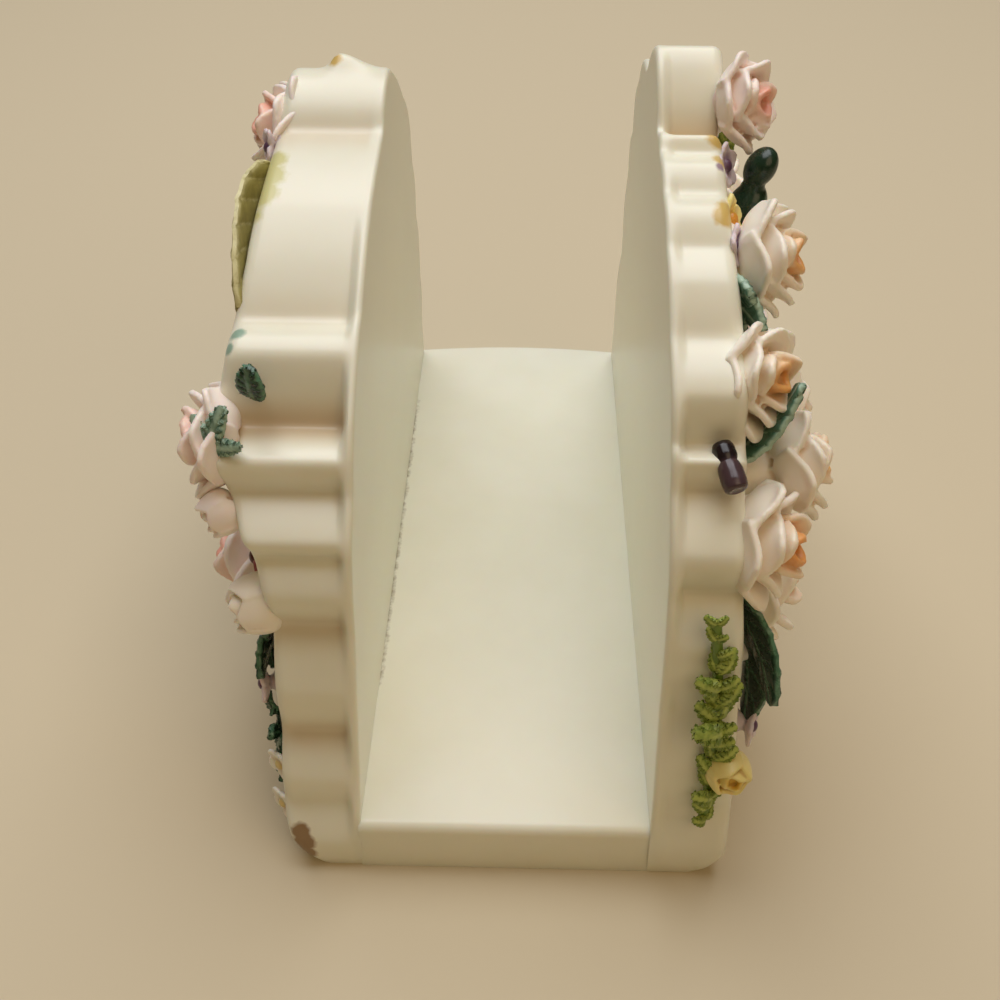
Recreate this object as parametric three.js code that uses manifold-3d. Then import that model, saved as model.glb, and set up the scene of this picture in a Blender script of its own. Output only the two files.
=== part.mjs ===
// A cast resin napkin holder. Two thick scalloped panels stand on a base slab and lean in a little,
// and roses, buds, blossoms and leaves are glued to the panels' outer faces.
// Millimetres, +Z up. The underside is z = 0, the slot runs along Y and the front end is at -Y.

import * as THREE from 'three';
import { mergeVertices } from 'three/addons/utils/BufferGeometryUtils.js';
import Module from 'manifold-3d';

const wasm = await Module();
wasm.setup();

// Base slab and slot
const SLOT_WIDTH = 45;
const SLOT_SPLAY = 0.011;
const BASE_LENGTH = 133;
const BASE_THICKNESS = 11.5;
const BASE_BACK_BOW = 1.5;
const BASE_EDGE_ROUND = 1.6;
const TONGUE_REACH = 3;
const TONGUE_HEIGHT = 5;
const GLUE_GAP = 0.3;

// Panels: a thin smooth rim on the slot side, and behind it the scalloped body of the casting
const PANEL_LEAN = 0.02;
const RIM_THICKNESS = 1.8;
const RIM_ROUND = 0.8;
const RIM_SHARE = 0.15;
const LEFT_HEIGHT = 103.1;
const LEFT_THICKNESS = 14;
const LEFT_SHOULDER = 22;
const LEFT_FOOT_CHAMFER = 4.5;
const RIGHT_HEIGHT = 114;
const RIGHT_THICKNESS = 10.8;
const RIGHT_FOOT = 14;
const RIGHT_FOOT_ROUND = 5;

// Flowers
const PETAL_THICKNESS = 0.9;
const LEAF_THICKNESS = 1.1;
const STEM_RADIUS = 0.8;
const SEAT_DEPTH = 2;
const FLARE = 0.78;

const IVORY = '#ece5d2';
const CREAM = '#eddcc6';
const PINK = '#e8bda9';
const PEACH = '#e6b183';
const YELLOW = '#dfc25c';
const VIOLET = '#8d7288';
const MAGENTA = '#8a4a55';
const WHITE = '#f1ece0';
const PLUM = '#2b1f23';
const DARK_GREEN = '#24442f';
const MID_GREEN = '#4f7a5c';
const OLIVE = '#a9a153';
const FERN_GREEN = '#6b8e36';

const LEFT = -1;
const RIGHT = 1;
const fromFront = (inset) => -BASE_LENGTH / 2 + inset;
const fromBack = (inset) => BASE_LENGTH / 2 - inset;
const leftDown = (inset) => LEFT_HEIGHT - inset;
const rightDown = (inset) => RIGHT_HEIGHT - inset;

// Heights on the shaft below a panel's shoulder are drawn for a shaft of the height given here, and
// draw together or apart when the panel gets lower or taller
const LEFT_DRAWN_SHAFT = 61.3;
const LEFT_CROWN = 41.8;
const RIGHT_DRAWN_SHAFT = 62.1;
const RIGHT_CROWN = 51.9;
const leftShaft = (height) => height * leftDown(LEFT_CROWN) / LEFT_DRAWN_SHAFT;
const rightShaft = (height) => height * rightDown(RIGHT_CROWN) / RIGHT_DRAWN_SHAFT;

// Each outline runs up the front end, over the top and down the back end. Its rows are a hollow
// between two scallops, as [along the slot, height, depth], and the crest of the scallop after it.
const LEFT_OUTLINE = [
  [[fromFront(-0.2), 0, 0], [fromFront(-0.6), leftShaft(7)]],
  [[fromFront(0.4), leftShaft(14.5), 1.6], [fromFront(3.3), leftShaft(20)]],
  [[fromFront(4.3), leftShaft(28.5), 2.2], [fromFront(7.3), leftShaft(37)]],
  [[fromFront(9.6), leftShaft(49), 1.5], [fromFront(10.9), leftShaft(54.5)]],
  [[fromFront(12), leftDown(LEFT_CROWN), 2], [fromFront(13.4), leftDown(39.7)]],
  [[fromFront(17.3), leftDown(33.9), 3.7], [fromFront(20), leftDown(29.5)]],
  [[fromFront(23), leftDown(24), 7.5], [fromFront(31.4), leftDown(18.6)]],
  [[fromFront(37.8), leftDown(15.5), 3], [fromFront(54.9), leftDown(7.6)]],
  [[fromFront(74.3), leftDown(5), 0.4], [fromFront(86.5), leftDown(0)]],
  [[fromBack(26), leftDown(14.1), 2.4], [fromBack(17.5), leftDown(22.5)]],
  [[fromBack(14), leftDown(34.1), 2], [fromBack(9.4), leftDown(40.9)]],
  [[fromBack(9), leftDown(49.1), 2.4], [fromBack(4.4), leftShaft(46)]],
  [[fromBack(4), leftShaft(37), 2], [fromBack(1.3), leftShaft(29)]],
  [[fromBack(2.5), leftShaft(21), 2], [fromBack(0.1), leftShaft(14.7)]],
  [[fromBack(1), leftShaft(8), 1.4], [fromBack(0.1), leftShaft(4)]],
  [[fromBack(0.5), 0, 0]],
];
const RIGHT_OUTLINE = [
  [[fromFront(-0.5), 0, 0], [fromFront(-1), rightShaft(7.5)]],
  [[fromFront(-0.5), rightShaft(15), 1.2], [fromFront(0.8), rightShaft(28)]],
  [[fromFront(2.2), rightShaft(40), 0.8], [fromFront(2.8), rightShaft(54)]],
  [[fromFront(3.8), rightDown(RIGHT_CROWN), 4], [fromFront(6.2), rightDown(45.3)]],
  [[fromFront(11.1), rightDown(37.6), 3.5], [fromFront(13.3), rightDown(33.3)]],
  [[fromFront(14.6), rightDown(31.5), 5], [fromFront(18.8), rightDown(26.2)]],
  [[fromFront(26.1), rightDown(21.5), 1.4], [fromFront(32.2), rightDown(16.7)]],
  [[fromFront(37.8), rightDown(14.4), 0.9], [fromFront(42.4), rightDown(11.7)]],
  [[fromFront(47), rightDown(10.9), 0.9], [fromFront(51.2), rightDown(9.1)]],
  [[fromFront(55.5), rightDown(9.1), 0.8], [fromFront(58), rightDown(7.7)]],
  [[fromFront(60.6), rightDown(8.2), 4], [fromFront(71), rightDown(0)]],
  [[fromBack(50), rightDown(9), 2], [fromBack(41.8), rightDown(10.9)]],
  [[fromBack(36), rightDown(17), 2], [fromBack(30.4), rightDown(22.4)]],
  [[fromBack(29), rightDown(30), 2.2], [fromBack(23.9), rightDown(34.9)]],
  [[fromBack(23), rightDown(42), 2], [fromBack(17.5), rightDown(51.8)]],
  [[fromBack(17), rightShaft(51), 2.6], [fromBack(8), rightShaft(38.2)]],
  [[fromBack(4), rightShaft(23), 2], [fromBack(0.5), rightShaft(11.8)]],
  [[fromBack(0.5), 0, 0]],
];

// The outer face of each panel as [thickness, height] from the foot to above the top
const LEFT_FACE = [
  [LEFT_THICKNESS, LEFT_FOOT_CHAMFER], [LEFT_THICKNESS, leftShaft(30)],
  [LEFT_THICKNESS - 0.6, leftShaft(52)], [LEFT_SHOULDER - 5.7, leftShaft(63.5)],
  [LEFT_SHOULDER - 0.5, leftDown(32)], [LEFT_SHOULDER, leftDown(28)],
  [LEFT_SHOULDER - 3, leftDown(18.5)], [LEFT_SHOULDER - 2.5, leftDown(14.5)],
  [LEFT_SHOULDER - 4.7, leftDown(7.5)], [LEFT_SHOULDER - 5.2, leftDown(0)],
  [LEFT_SHOULDER - 5.2, leftDown(-40)],
];
const RIGHT_FACE = [
  [RIGHT_FOOT, RIGHT_FOOT_ROUND], [RIGHT_FOOT - 0.5, rightShaft(15)],
  [RIGHT_THICKNESS + 1, rightShaft(50)], [RIGHT_THICKNESS, rightShaft(70)],
  [RIGHT_THICKNESS, rightDown(23)], [RIGHT_THICKNESS - 1.4, rightDown(13)],
  [RIGHT_THICKNESS - 1.4, rightDown(8)], [RIGHT_THICKNESS, rightDown(2)],
  [RIGHT_THICKNESS, rightDown(-40)],
];
const FACES = { [LEFT]: LEFT_FACE, [RIGHT]: RIGHT_FACE };

function dropFlatTriangles(index) {
  const kept = [];
  for (let i = 0; i < index.length; i += 3) {
    const [a, b, c] = [index[i], index[i + 1], index[i + 2]];
    if (a !== b && b !== c && c !== a) kept.push(a, b, c);
  }
  return kept;
}

function signedVolume(position, index) {
  const [a, b, c] = [new THREE.Vector3(), new THREE.Vector3(), new THREE.Vector3()];
  let volume = 0;
  for (let i = 0; i < index.length; i += 3) {
    a.fromBufferAttribute(position, index[i]);
    b.fromBufferAttribute(position, index[i + 1]);
    c.fromBufferAttribute(position, index[i + 2]);
    volume += a.dot(b.cross(c)) / 6;
  }
  return volume;
}

function toSolid(geometry) {
  const bare = geometry.clone();
  bare.deleteAttribute('normal');
  bare.deleteAttribute('uv');
  const merged = mergeVertices(bare);
  const index = dropFlatTriangles(merged.index.array);
  if (signedVolume(merged.attributes.position, index) < 0) index.reverse();
  return new wasm.Manifold(new wasm.Mesh({
    numProp: 3,
    vertProperties: new Float32Array(merged.attributes.position.array),
    triVerts: new Uint32Array(index),
  }));
}

function toGeometry(solid) {
  const mesh = solid.getMesh();
  const geometry = new THREE.BufferGeometry();
  geometry.setAttribute('position', new THREE.BufferAttribute(mesh.vertProperties, 3));
  geometry.setIndex(new THREE.BufferAttribute(mesh.triVerts, 1));
  geometry.computeVertexNormals();
  return geometry;
}

const fuse = (geometries) => geometries.map(toSolid).reduce((all, one) => all.add(one));

function largestBody(solid) {
  const bodies = solid.decompose();
  return bodies.reduce((best, body) => (body.volume() > best.volume() ? body : best));
}

// A closed skin through rings of points, drawn to a point at each end
function loft(start, rings, end) {
  const points = [start, ...rings.flat(), end];
  const count = rings[0].length;
  const lastRing = points.length - 1 - count;
  const index = [];
  for (let i = 0; i < count; i += 1) {
    const next = (i + 1) % count;
    index.push(0, 1 + next, 1 + i);
    for (let a = 1; a < lastRing; a += count) {
      index.push(a + i, a + next, a + count + next);
      index.push(a + i, a + count + next, a + count + i);
    }
    index.push(points.length - 1, lastRing + i, lastRing + next);
  }
  const geometry = new THREE.BufferGeometry().setFromPoints(points);
  return geometry.setIndex(index);
}

// A turned form about +Z, from [radius, height] points that start and end on the axis
function turned(profile, sides) {
  const points = profile.map(([radius, height]) => new THREE.Vector2(radius, height));
  return new THREE.LatheGeometry(points, sides).rotateX(Math.PI / 2);
}

// Panels

const outward = (from, to) => new THREE.Vector2(from.y - to.y, to.x - from.x).normalize();

// The closed outline of a panel. Each hollow is set in by its depth times `share`. Between two hollows
// the scallop rises to its crest and falls again like a worn stair, each way a little swollen.
const SCALLOP_SWELL = 0.35;

function scallopedShape(outline, share) {
  const corners = outline.map(([[along, height]]) => new THREE.Vector2(along, height));
  const last = corners.length - 1;
  const hollows = corners.map((corner, i) => {
    const out = outward(corners[Math.max(i - 1, 0)], corners[Math.min(i + 1, last)]);
    return corner.clone().addScaledVector(out, -share * outline[i][0][2]);
  });
  const shape = new THREE.Shape().moveTo(hollows[0].x, hollows[0].y);
  for (let i = 0; i < last; i += 1) {
    const [from, to] = [hollows[i], hollows[i + 1]];
    const crest = new THREE.Vector2(...outline[i][1]);
    const middle = from.clone().lerp(to, 0.5);
    const swell = crest.clone().sub(middle).multiplyScalar(SCALLOP_SWELL);
    const up = from.clone().lerp(crest, 0.5).add(swell);
    const down = crest.clone().lerp(to, 0.5).add(swell);
    shape.quadraticCurveTo(up.x, up.y, crest.x, crest.y);
    shape.quadraticCurveTo(down.x, down.y, to.x, to.y);
  }
  shape.closePath();
  return shape;
}

// Turns an extrusion of the (along, height) plane so that it grows along +X from `x`
function acrossSlot(geometry, x) {
  const axes = new THREE.Matrix4().makeBasis(
    new THREE.Vector3(0, 1, 0), new THREE.Vector3(0, 0, 1), new THREE.Vector3(1, 0, 0),
  );
  return geometry.applyMatrix4(axes).translate(x, 0, 0);
}

// The panel's section from the slot's middle to the outer face, as a prism longer than the panel
function facePrism(side, clearance) {
  const face = FACES[side];
  const [footWidth, footHeight] = face[0];
  const shape = new THREE.Shape().moveTo(0, -footHeight);
  const reach = (width) => side * (SLOT_WIDTH / 2 + width + clearance);
  shape.lineTo(reach(footWidth - footHeight), 0);
  if (side === LEFT) shape.lineTo(reach(footWidth), footHeight);
  else shape.quadraticCurveTo(reach(footWidth), 0, reach(footWidth), footHeight);
  face.slice(1).forEach(([width, height]) => shape.lineTo(reach(width), height));
  shape.lineTo(0, face[face.length - 1][1]);
  const prism = new THREE.ExtrudeGeometry(shape, {
    depth: 2 * BASE_LENGTH, bevelEnabled: false, curveSegments: 4,
  });
  return prism.rotateX(Math.PI / 2).translate(0, BASE_LENGTH, 0);
}

// Swings a solid's front end away from the slot and leaves its back end where it is
function splayOut(geometry, side) {
  const shear = new THREE.Matrix4().makeShear(0, 0, -side * SLOT_SPLAY, 0, 0, 0);
  return geometry.applyMatrix4(shear).translate(side * SLOT_SPLAY * BASE_LENGTH / 2, 0, 0);
}

// Leans a solid's upper part towards the slot and leaves the floor's level where it is
function leanIn(geometry, side) {
  const shear = new THREE.Matrix4().makeShear(0, 0, 0, 0, -side * PANEL_LEAN, 0);
  return splayOut(geometry.applyMatrix4(shear).translate(side * PANEL_LEAN * BASE_THICKNESS, 0, 0), side);
}

function panel(side, outline) {
  const widest = Math.max(...FACES[side].map(([width]) => width));
  const inner = side * SLOT_WIDTH / 2;
  const rimShape = scallopedShape(outline, RIM_SHARE);
  const rim = new THREE.ExtrudeGeometry(rimShape, {
    depth: RIM_THICKNESS - RIM_ROUND, curveSegments: 2,
    bevelThickness: RIM_ROUND, bevelSize: RIM_ROUND, bevelOffset: -RIM_ROUND, bevelSegments: 2,
  });
  const bodyShape = scallopedShape(outline, 1);
  const body = new THREE.ExtrudeGeometry(bodyShape, {
    depth: widest - RIM_ROUND, bevelEnabled: false, curveSegments: 2,
  });
  const rimStart = side === RIGHT ? inner + RIM_ROUND : inner - RIM_THICKNESS;
  const bodyStart = side === RIGHT ? inner + RIM_ROUND : inner - widest;
  const rebate = new THREE.BoxGeometry(
    2 * (TONGUE_REACH + GLUE_GAP), 2 * BASE_LENGTH, 2 * (TONGUE_HEIGHT + GLUE_GAP),
  ).translate(inner, 0, 0);
  const casting = toSolid(leanIn(acrossSlot(rim, rimStart), side))
    .add(toSolid(leanIn(acrossSlot(body, bodyStart), side)));
  return casting.intersect(toSolid(leanIn(facePrism(side, 0), side)))
    .subtract(toSolid(splayOut(rebate, side)));
}

// Base slab: a plan that widens to the front and has a bowed back edge, rounded at the top, with a
// tongue under each panel

function basePlan(halfWidth, height) {
  const half = BASE_LENGTH / 2;
  const frontWidth = halfWidth + SLOT_SPLAY * BASE_LENGTH;
  const shape = new THREE.Shape().moveTo(-frontWidth, -half).lineTo(frontWidth, -half);
  shape.lineTo(halfWidth, half);
  shape.quadraticCurveTo(0, half + 2 * BASE_BACK_BOW, -halfWidth, half).closePath();
  return new THREE.ExtrudeGeometry(shape, { depth: height, bevelEnabled: false, curveSegments: 8 });
}

function baseProfile() {
  const [half, top, round] = [BASE_LENGTH / 2 + BASE_BACK_BOW, BASE_THICKNESS, BASE_EDGE_ROUND];
  const front = fromFront(0);
  const shape = new THREE.Shape().moveTo(front, 0).lineTo(front, top - round);
  shape.quadraticCurveTo(front, top, front + round, top).lineTo(half - round, top);
  shape.quadraticCurveTo(half, top, half, top - round).lineTo(half, 0).closePath();
  const slab = new THREE.ExtrudeGeometry(shape, {
    depth: 2 * SLOT_WIDTH, bevelEnabled: false, curveSegments: 4,
  });
  return acrossSlot(slab, -SLOT_WIDTH);
}

function baseSlab() {
  const floor = toSolid(basePlan(SLOT_WIDTH / 2 - GLUE_GAP, BASE_THICKNESS));
  const tongues = toSolid(basePlan(SLOT_WIDTH / 2 + TONGUE_REACH, TONGUE_HEIGHT));
  return floor.add(tongues).intersect(toSolid(baseProfile()));
}

// Flowers and leaves, each built about +Z with its seat at z = 0

// One petal: a profile in the plane of the axis, swept to both sides round the axis. Each of its
// rings is [how far along the profile, share of the full spread].
function petal({ curve, turn, spread, curl, rings }) {
  const point = (v, width, across, skin) => {
    const spot = curve.getPoint(v);
    const along = curve.getTangent(v);
    const lift = skin * PETAL_THICKNESS / 2 - curl * across * across;
    const angle = turn + across * spread * width;
    const radius = spot.x - along.y * lift;
    return new THREE.Vector3(radius * Math.cos(angle), radius * Math.sin(angle), spot.y + along.x * lift);
  };
  const loops = rings.map(([v, width]) => [
    point(v, width, -1, 0), point(v, width, 0, 1), point(v, width, 1, 0), point(v, width, 0, -1),
  ]);
  return loft(point(0, 0, 0, 0), loops, point(1, 0, 0, 0));
}

// A ring of equal petals. Its profile, in shares of the flower's radius, runs from the heart to the lip.
function petalRing({ count, turn, spread, curl, profile, rings }, radius) {
  const knots = profile.map(([out, height]) => new THREE.Vector2(out * radius, height * radius));
  const curve = new THREE.CubicBezierCurve(...knots);
  return Array.from({ length: count }, (_, i) => petal({
    curve, turn: turn + i * 2 * Math.PI / count, spread, curl: curl * radius, rings,
  }));
}

const OPEN_PETALS = {
  count: 5, turn: 0.3, spread: 0.62, curl: 0.06, rings: [[0.52, 1], [0.88, 0.8]],
  profile: [[0.3, 0.1], [0.82, 0.04], [0.78, 0.5], [1.08, 0.56]],
};
const CUPPED_PETALS = {
  count: 3, turn: 0.9, spread: 0.96, curl: 0.03, rings: [[0.5, 0.95], [0.88, 0.75]],
  profile: [[0.28, 0.2], [0.64, 0.2], [0.5, 0.66], [0.76, 0.84]],
};
const HEART_PETALS = {
  count: 3, turn: 0.2, spread: 0.95, curl: 0, rings: [[0.66, 1]],
  profile: [[0.2, 0.36], [0.42, 0.4], [0.32, 0.75], [0.38, 1.0]],
};
const SHEATH_PETALS = {
  count: 3, turn: 0.4, spread: 0.9, curl: 0.05, rings: [[0.5, 0.95], [0.88, 0.75]],
  profile: [[0.5, 0.2], [1.3, 0.2], [1.1, 1.1], [0.72, 1.9]],
};

// The flared foot, the cup and the closed heart that a flower's petals grow from
const heart = (radius, stand) => turned([
  [0, -stand - SEAT_DEPTH], [FLARE * radius, -stand - SEAT_DEPTH], [0.52 * radius, -0.1 * radius],
  [0.56 * radius, 0.2 * radius], [0.28 * radius, 0.46 * radius], [0, 0.92 * radius],
], 6);

const rose = ({ radius, stand }) => ({
  solid: () => fuse([
    heart(radius, stand),
    ...petalRing(OPEN_PETALS, radius),
    ...petalRing(CUPPED_PETALS, radius),
    ...petalRing(HEART_PETALS, radius),
  ]),
  room: () => turned([
    [0, -stand - SEAT_DEPTH], [FLARE * radius + GLUE_GAP, -stand - SEAT_DEPTH],
    [0.6 * radius + GLUE_GAP, -0.1 * radius - GLUE_GAP], [0.95 * radius, 0.1 * radius],
    [1.1 * radius + GLUE_GAP, 0.42 * radius], [1.1 * radius + GLUE_GAP, 0.7 * radius],
    [0.82 * radius + GLUE_GAP, 0.95 * radius], [0, 1.04 * radius + GLUE_GAP],
  ], 12),
  rise: stand,
});

const bud = ({ radius, stand }) => ({
  solid: () => fuse([
    turned([
      [0, -stand - SEAT_DEPTH], [FLARE * radius, -stand - SEAT_DEPTH], [0.6 * radius, 0],
      [0.8 * radius, 0.3 * radius], [0.85 * radius, 0.8 * radius], [0.5 * radius, 1.6 * radius],
      [0, 2 * radius],
    ], 7),
    ...petalRing(SHEATH_PETALS, radius),
  ]),
  room: () => turned([
    [0, -stand - SEAT_DEPTH], [(FLARE + 0.1) * radius + GLUE_GAP, -stand - SEAT_DEPTH],
    [0.75 * radius + GLUE_GAP, 0], [1.12 * radius + GLUE_GAP, 0.5 * radius],
    [1.05 * radius + GLUE_GAP, 1.4 * radius], [0.7 * radius + GLUE_GAP, 2 * radius],
    [0, 2.1 * radius + GLUE_GAP],
  ], 12),
  rise: stand,
});

const pod = ({ radius, stand }) => {
  const form = (more) => turned([
    [0, -stand - SEAT_DEPTH], [0.55 * radius + more, -stand - SEAT_DEPTH], [0.7 * radius + more, 0],
    [radius + more, 0.7 * radius], [0.95 * radius + more, 2.1 * radius],
    [0.55 * radius + more, 2.7 * radius + more], [0, 2.5 * radius + more],
  ], 9);
  return { solid: () => toSolid(form(0)), room: () => form(GLUE_GAP), rise: stand };
};

// A five-petalled blossom: one dish whose rim swings in and out, with a raised eye
const BLOSSOM_PETALS = 5;
const POINTS_PER_PETAL = 3;

const blossom = ({ radius, stand }) => ({
  solid: () => {
    const points = BLOSSOM_PETALS * POINTS_PER_PETAL;
    const ring = (reach, height, wave) => Array.from({ length: points }, (_, i) => {
      const angle = i * 2 * Math.PI / points;
      const out = radius * reach * (1 - wave * (1 - Math.cos(BLOSSOM_PETALS * angle)) / 2);
      return new THREE.Vector3(out * Math.cos(angle), out * Math.sin(angle), height);
    });
    const rings = [
      ring(0.3, -stand - SEAT_DEPTH, 0), ring(0.3, 0, 0), ring(1, 0.4 * radius, 0.5),
      ring(0.26, 0.3 * radius, 0),
    ];
    const low = new THREE.Vector3(0, 0, -stand - SEAT_DEPTH);
    return toSolid(loft(low, rings, new THREE.Vector3(0, 0, 0.62 * radius)));
  },
  room: () => turned([
    [0, -stand - SEAT_DEPTH], [0.3 * radius + GLUE_GAP, -stand - SEAT_DEPTH],
    [0.3 * radius + GLUE_GAP, -GLUE_GAP], [radius + GLUE_GAP, 0.25 * radius],
    [0.95 * radius + GLUE_GAP, 0.7 * radius + GLUE_GAP], [0, 0.7 * radius + GLUE_GAP],
  ], 12),
  rise: stand,
});

// A pointed leaf along +Y, folded up along its midrib and arched over its length. Each of its
// rings is [how far along, share of the full width].
const LEAF_RINGS = [[0.24, 0.88], [0.64, 0.86]];

function leafBlade({ length, width, fold, arch, rings }, more) {
  const spine = (v) => new THREE.Vector3(0, v * length, arch * 4 * v * (1 - v) * length);
  const thick = LEAF_THICKNESS / 2 + more;
  const loops = rings.map(([v, share]) => {
    const mid = spine(v);
    const half = share * width / 2 + more;
    const edge = mid.z + half * fold;
    return [
      new THREE.Vector3(-half, mid.y, edge), new THREE.Vector3(0, mid.y, mid.z + thick),
      new THREE.Vector3(half, mid.y, edge), new THREE.Vector3(0, mid.y, mid.z - thick),
    ];
  });
  return loft(spine(0), loops, spine(1));
}

const leafStem = (more) => turned([
  [0, -SEAT_DEPTH], [STEM_RADIUS + more, -SEAT_DEPTH],
  [STEM_RADIUS + more, LEAF_THICKNESS / 2 + more], [0, LEAF_THICKNESS / 2 + more],
], 6).translate(0, STEM_RADIUS * 1.4, 0);

// A stem foot with one leaf, or with a fan of leaves spread at `fan` to either side
const leaf = ({ length, width, fold = 0.25, arch = 0.08, fan = 0, side = 0.75 }) => {
  const turns = fan > 0 ? [-fan, 0, fan] : [0];
  const blades = (more) => turns.map((turn) => {
    const scale = turn === 0 ? 1 : side;
    const blade = leafBlade({
      length: length * scale, width: width * scale, fold, arch, rings: LEAF_RINGS,
    }, more);
    return blade.rotateZ(turn);
  });
  return {
    solid: () => fuse([leafStem(0), ...blades(0)]),
    room: () => [leafStem(GLUE_GAP), ...blades(GLUE_GAP)],
    rise: 0,
  };
};

// A frond along +Y: a stem that bends to one side, with pairs of leaflets shrinking to its tip
const LEAFLET_RINGS = [[0.45, 1]];
const LEAFLET_TURN = 0.95;
const LEAFLET_WIDTH = 0.5;
const LEAFLET_SHRINK = 0.55;
const FIRST_PAIR = 0.6;

const frond = ({ length, pairs, leaflet, bend }) => {
  const path = new THREE.QuadraticBezierCurve3(
    new THREE.Vector3(0, 0, 0), new THREE.Vector3(bend, length / 2, STEM_RADIUS),
    new THREE.Vector3(0, length, STEM_RADIUS / 2),
  );
  const parts = (more) => {
    const section = new THREE.Shape().absarc(0, 0, STEM_RADIUS + more, 0, 2 * Math.PI);
    const stem = new THREE.ExtrudeGeometry(section, {
      steps: 5, bevelEnabled: false, extrudePath: path, curveSegments: 2,
    });
    const leaflets = [];
    for (let i = 0; i < pairs; i += 1) {
      const v = (i + FIRST_PAIR) / pairs;
      const foot = path.getPoint(v);
      const reach = leaflet * (1 - LEAFLET_SHRINK * v);
      const sizes = {
        length: reach, width: reach * LEAFLET_WIDTH, fold: 0.2, arch: 0.12, rings: LEAFLET_RINGS,
      };
      [-1, 1].forEach((hand) => {
        const blade = leafBlade(sizes, more).rotateZ(-hand * LEAFLET_TURN);
        leaflets.push(blade.translate(foot.x, foot.y, foot.z));
      });
    }
    return [stem, ...leaflets];
  };
  return { solid: () => fuse(parts(0)), room: () => parts(GLUE_GAP), rise: 0 };
};

// Seats on the outer faces

function faceWidth(side, height) {
  const face = FACES[side];
  const above = Math.max(1, face.findIndex(([, level]) => level >= height));
  const [[w0, h0], [w1, h1]] = [face[above - 1], face[above]];
  return THREE.MathUtils.mapLinear(height, h0, h1, w0, w1);
}

const FRONT = new THREE.Vector3(0, -1, 0);
const UP = new THREE.Vector3(0, 0, 1);
const radians = THREE.MathUtils.degToRad;

function facePoint(side, y, z) {
  const inner = SLOT_WIDTH / 2 + SLOT_SPLAY * (BASE_LENGTH / 2 - y) - PANEL_LEAN * (z - BASE_THICKNESS);
  return new THREE.Vector3(side * (inner + faceWidth(side, z)), y, z);
}

const faceNormal = (side) => new THREE.Vector3(side, SLOT_SPLAY, PANEL_LEAN).normalize();

// A flower's axis leaves the face square and is tipped to the front and to the top, in degrees. One
// on the panel's front end is set in from the face.
function flowerPlace(side, { y, z, toFront = 0, toTop = 0, setIn = 0 }, rise) {
  const normal = faceNormal(side);
  const axis = normal.clone()
    .addScaledVector(FRONT, Math.tan(radians(toFront)))
    .addScaledVector(UP, Math.tan(radians(toTop)))
    .normalize();
  const across = new THREE.Vector3().crossVectors(UP, axis).normalize();
  const up = new THREE.Vector3().crossVectors(axis, across);
  const origin = facePoint(side, y, z).addScaledVector(normal, -setIn).addScaledVector(axis, rise);
  return new THREE.Matrix4().makeBasis(across, up, axis).setPosition(origin);
}

// A leaf points along the face, `heading` degrees from straight up to the front, and lifts off it.
// One on the panel's front end is set in from the face and rolled to look to the front.
function leafPlace(side, { y, z, heading, lift = 0, roll = 0, setIn = 0 }) {
  const normal = faceNormal(side);
  const flat = UP.clone().multiplyScalar(Math.cos(radians(heading)))
    .addScaledVector(FRONT, Math.sin(radians(heading)))
    .projectOnPlane(normal).normalize();
  const along = flat.clone().multiplyScalar(Math.cos(radians(lift)))
    .addScaledVector(normal, Math.sin(radians(lift)));
  const across = new THREE.Vector3().crossVectors(along, normal).normalize();
  const top = new THREE.Vector3().crossVectors(across, along);
  const origin = facePoint(side, y, z).addScaledVector(normal, LEAF_THICKNESS / 2 - setIn);
  return new THREE.Matrix4().makeBasis(across, along, top).setPosition(origin)
    .multiply(new THREE.Matrix4().makeRotationY(radians(roll)));
}

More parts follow.
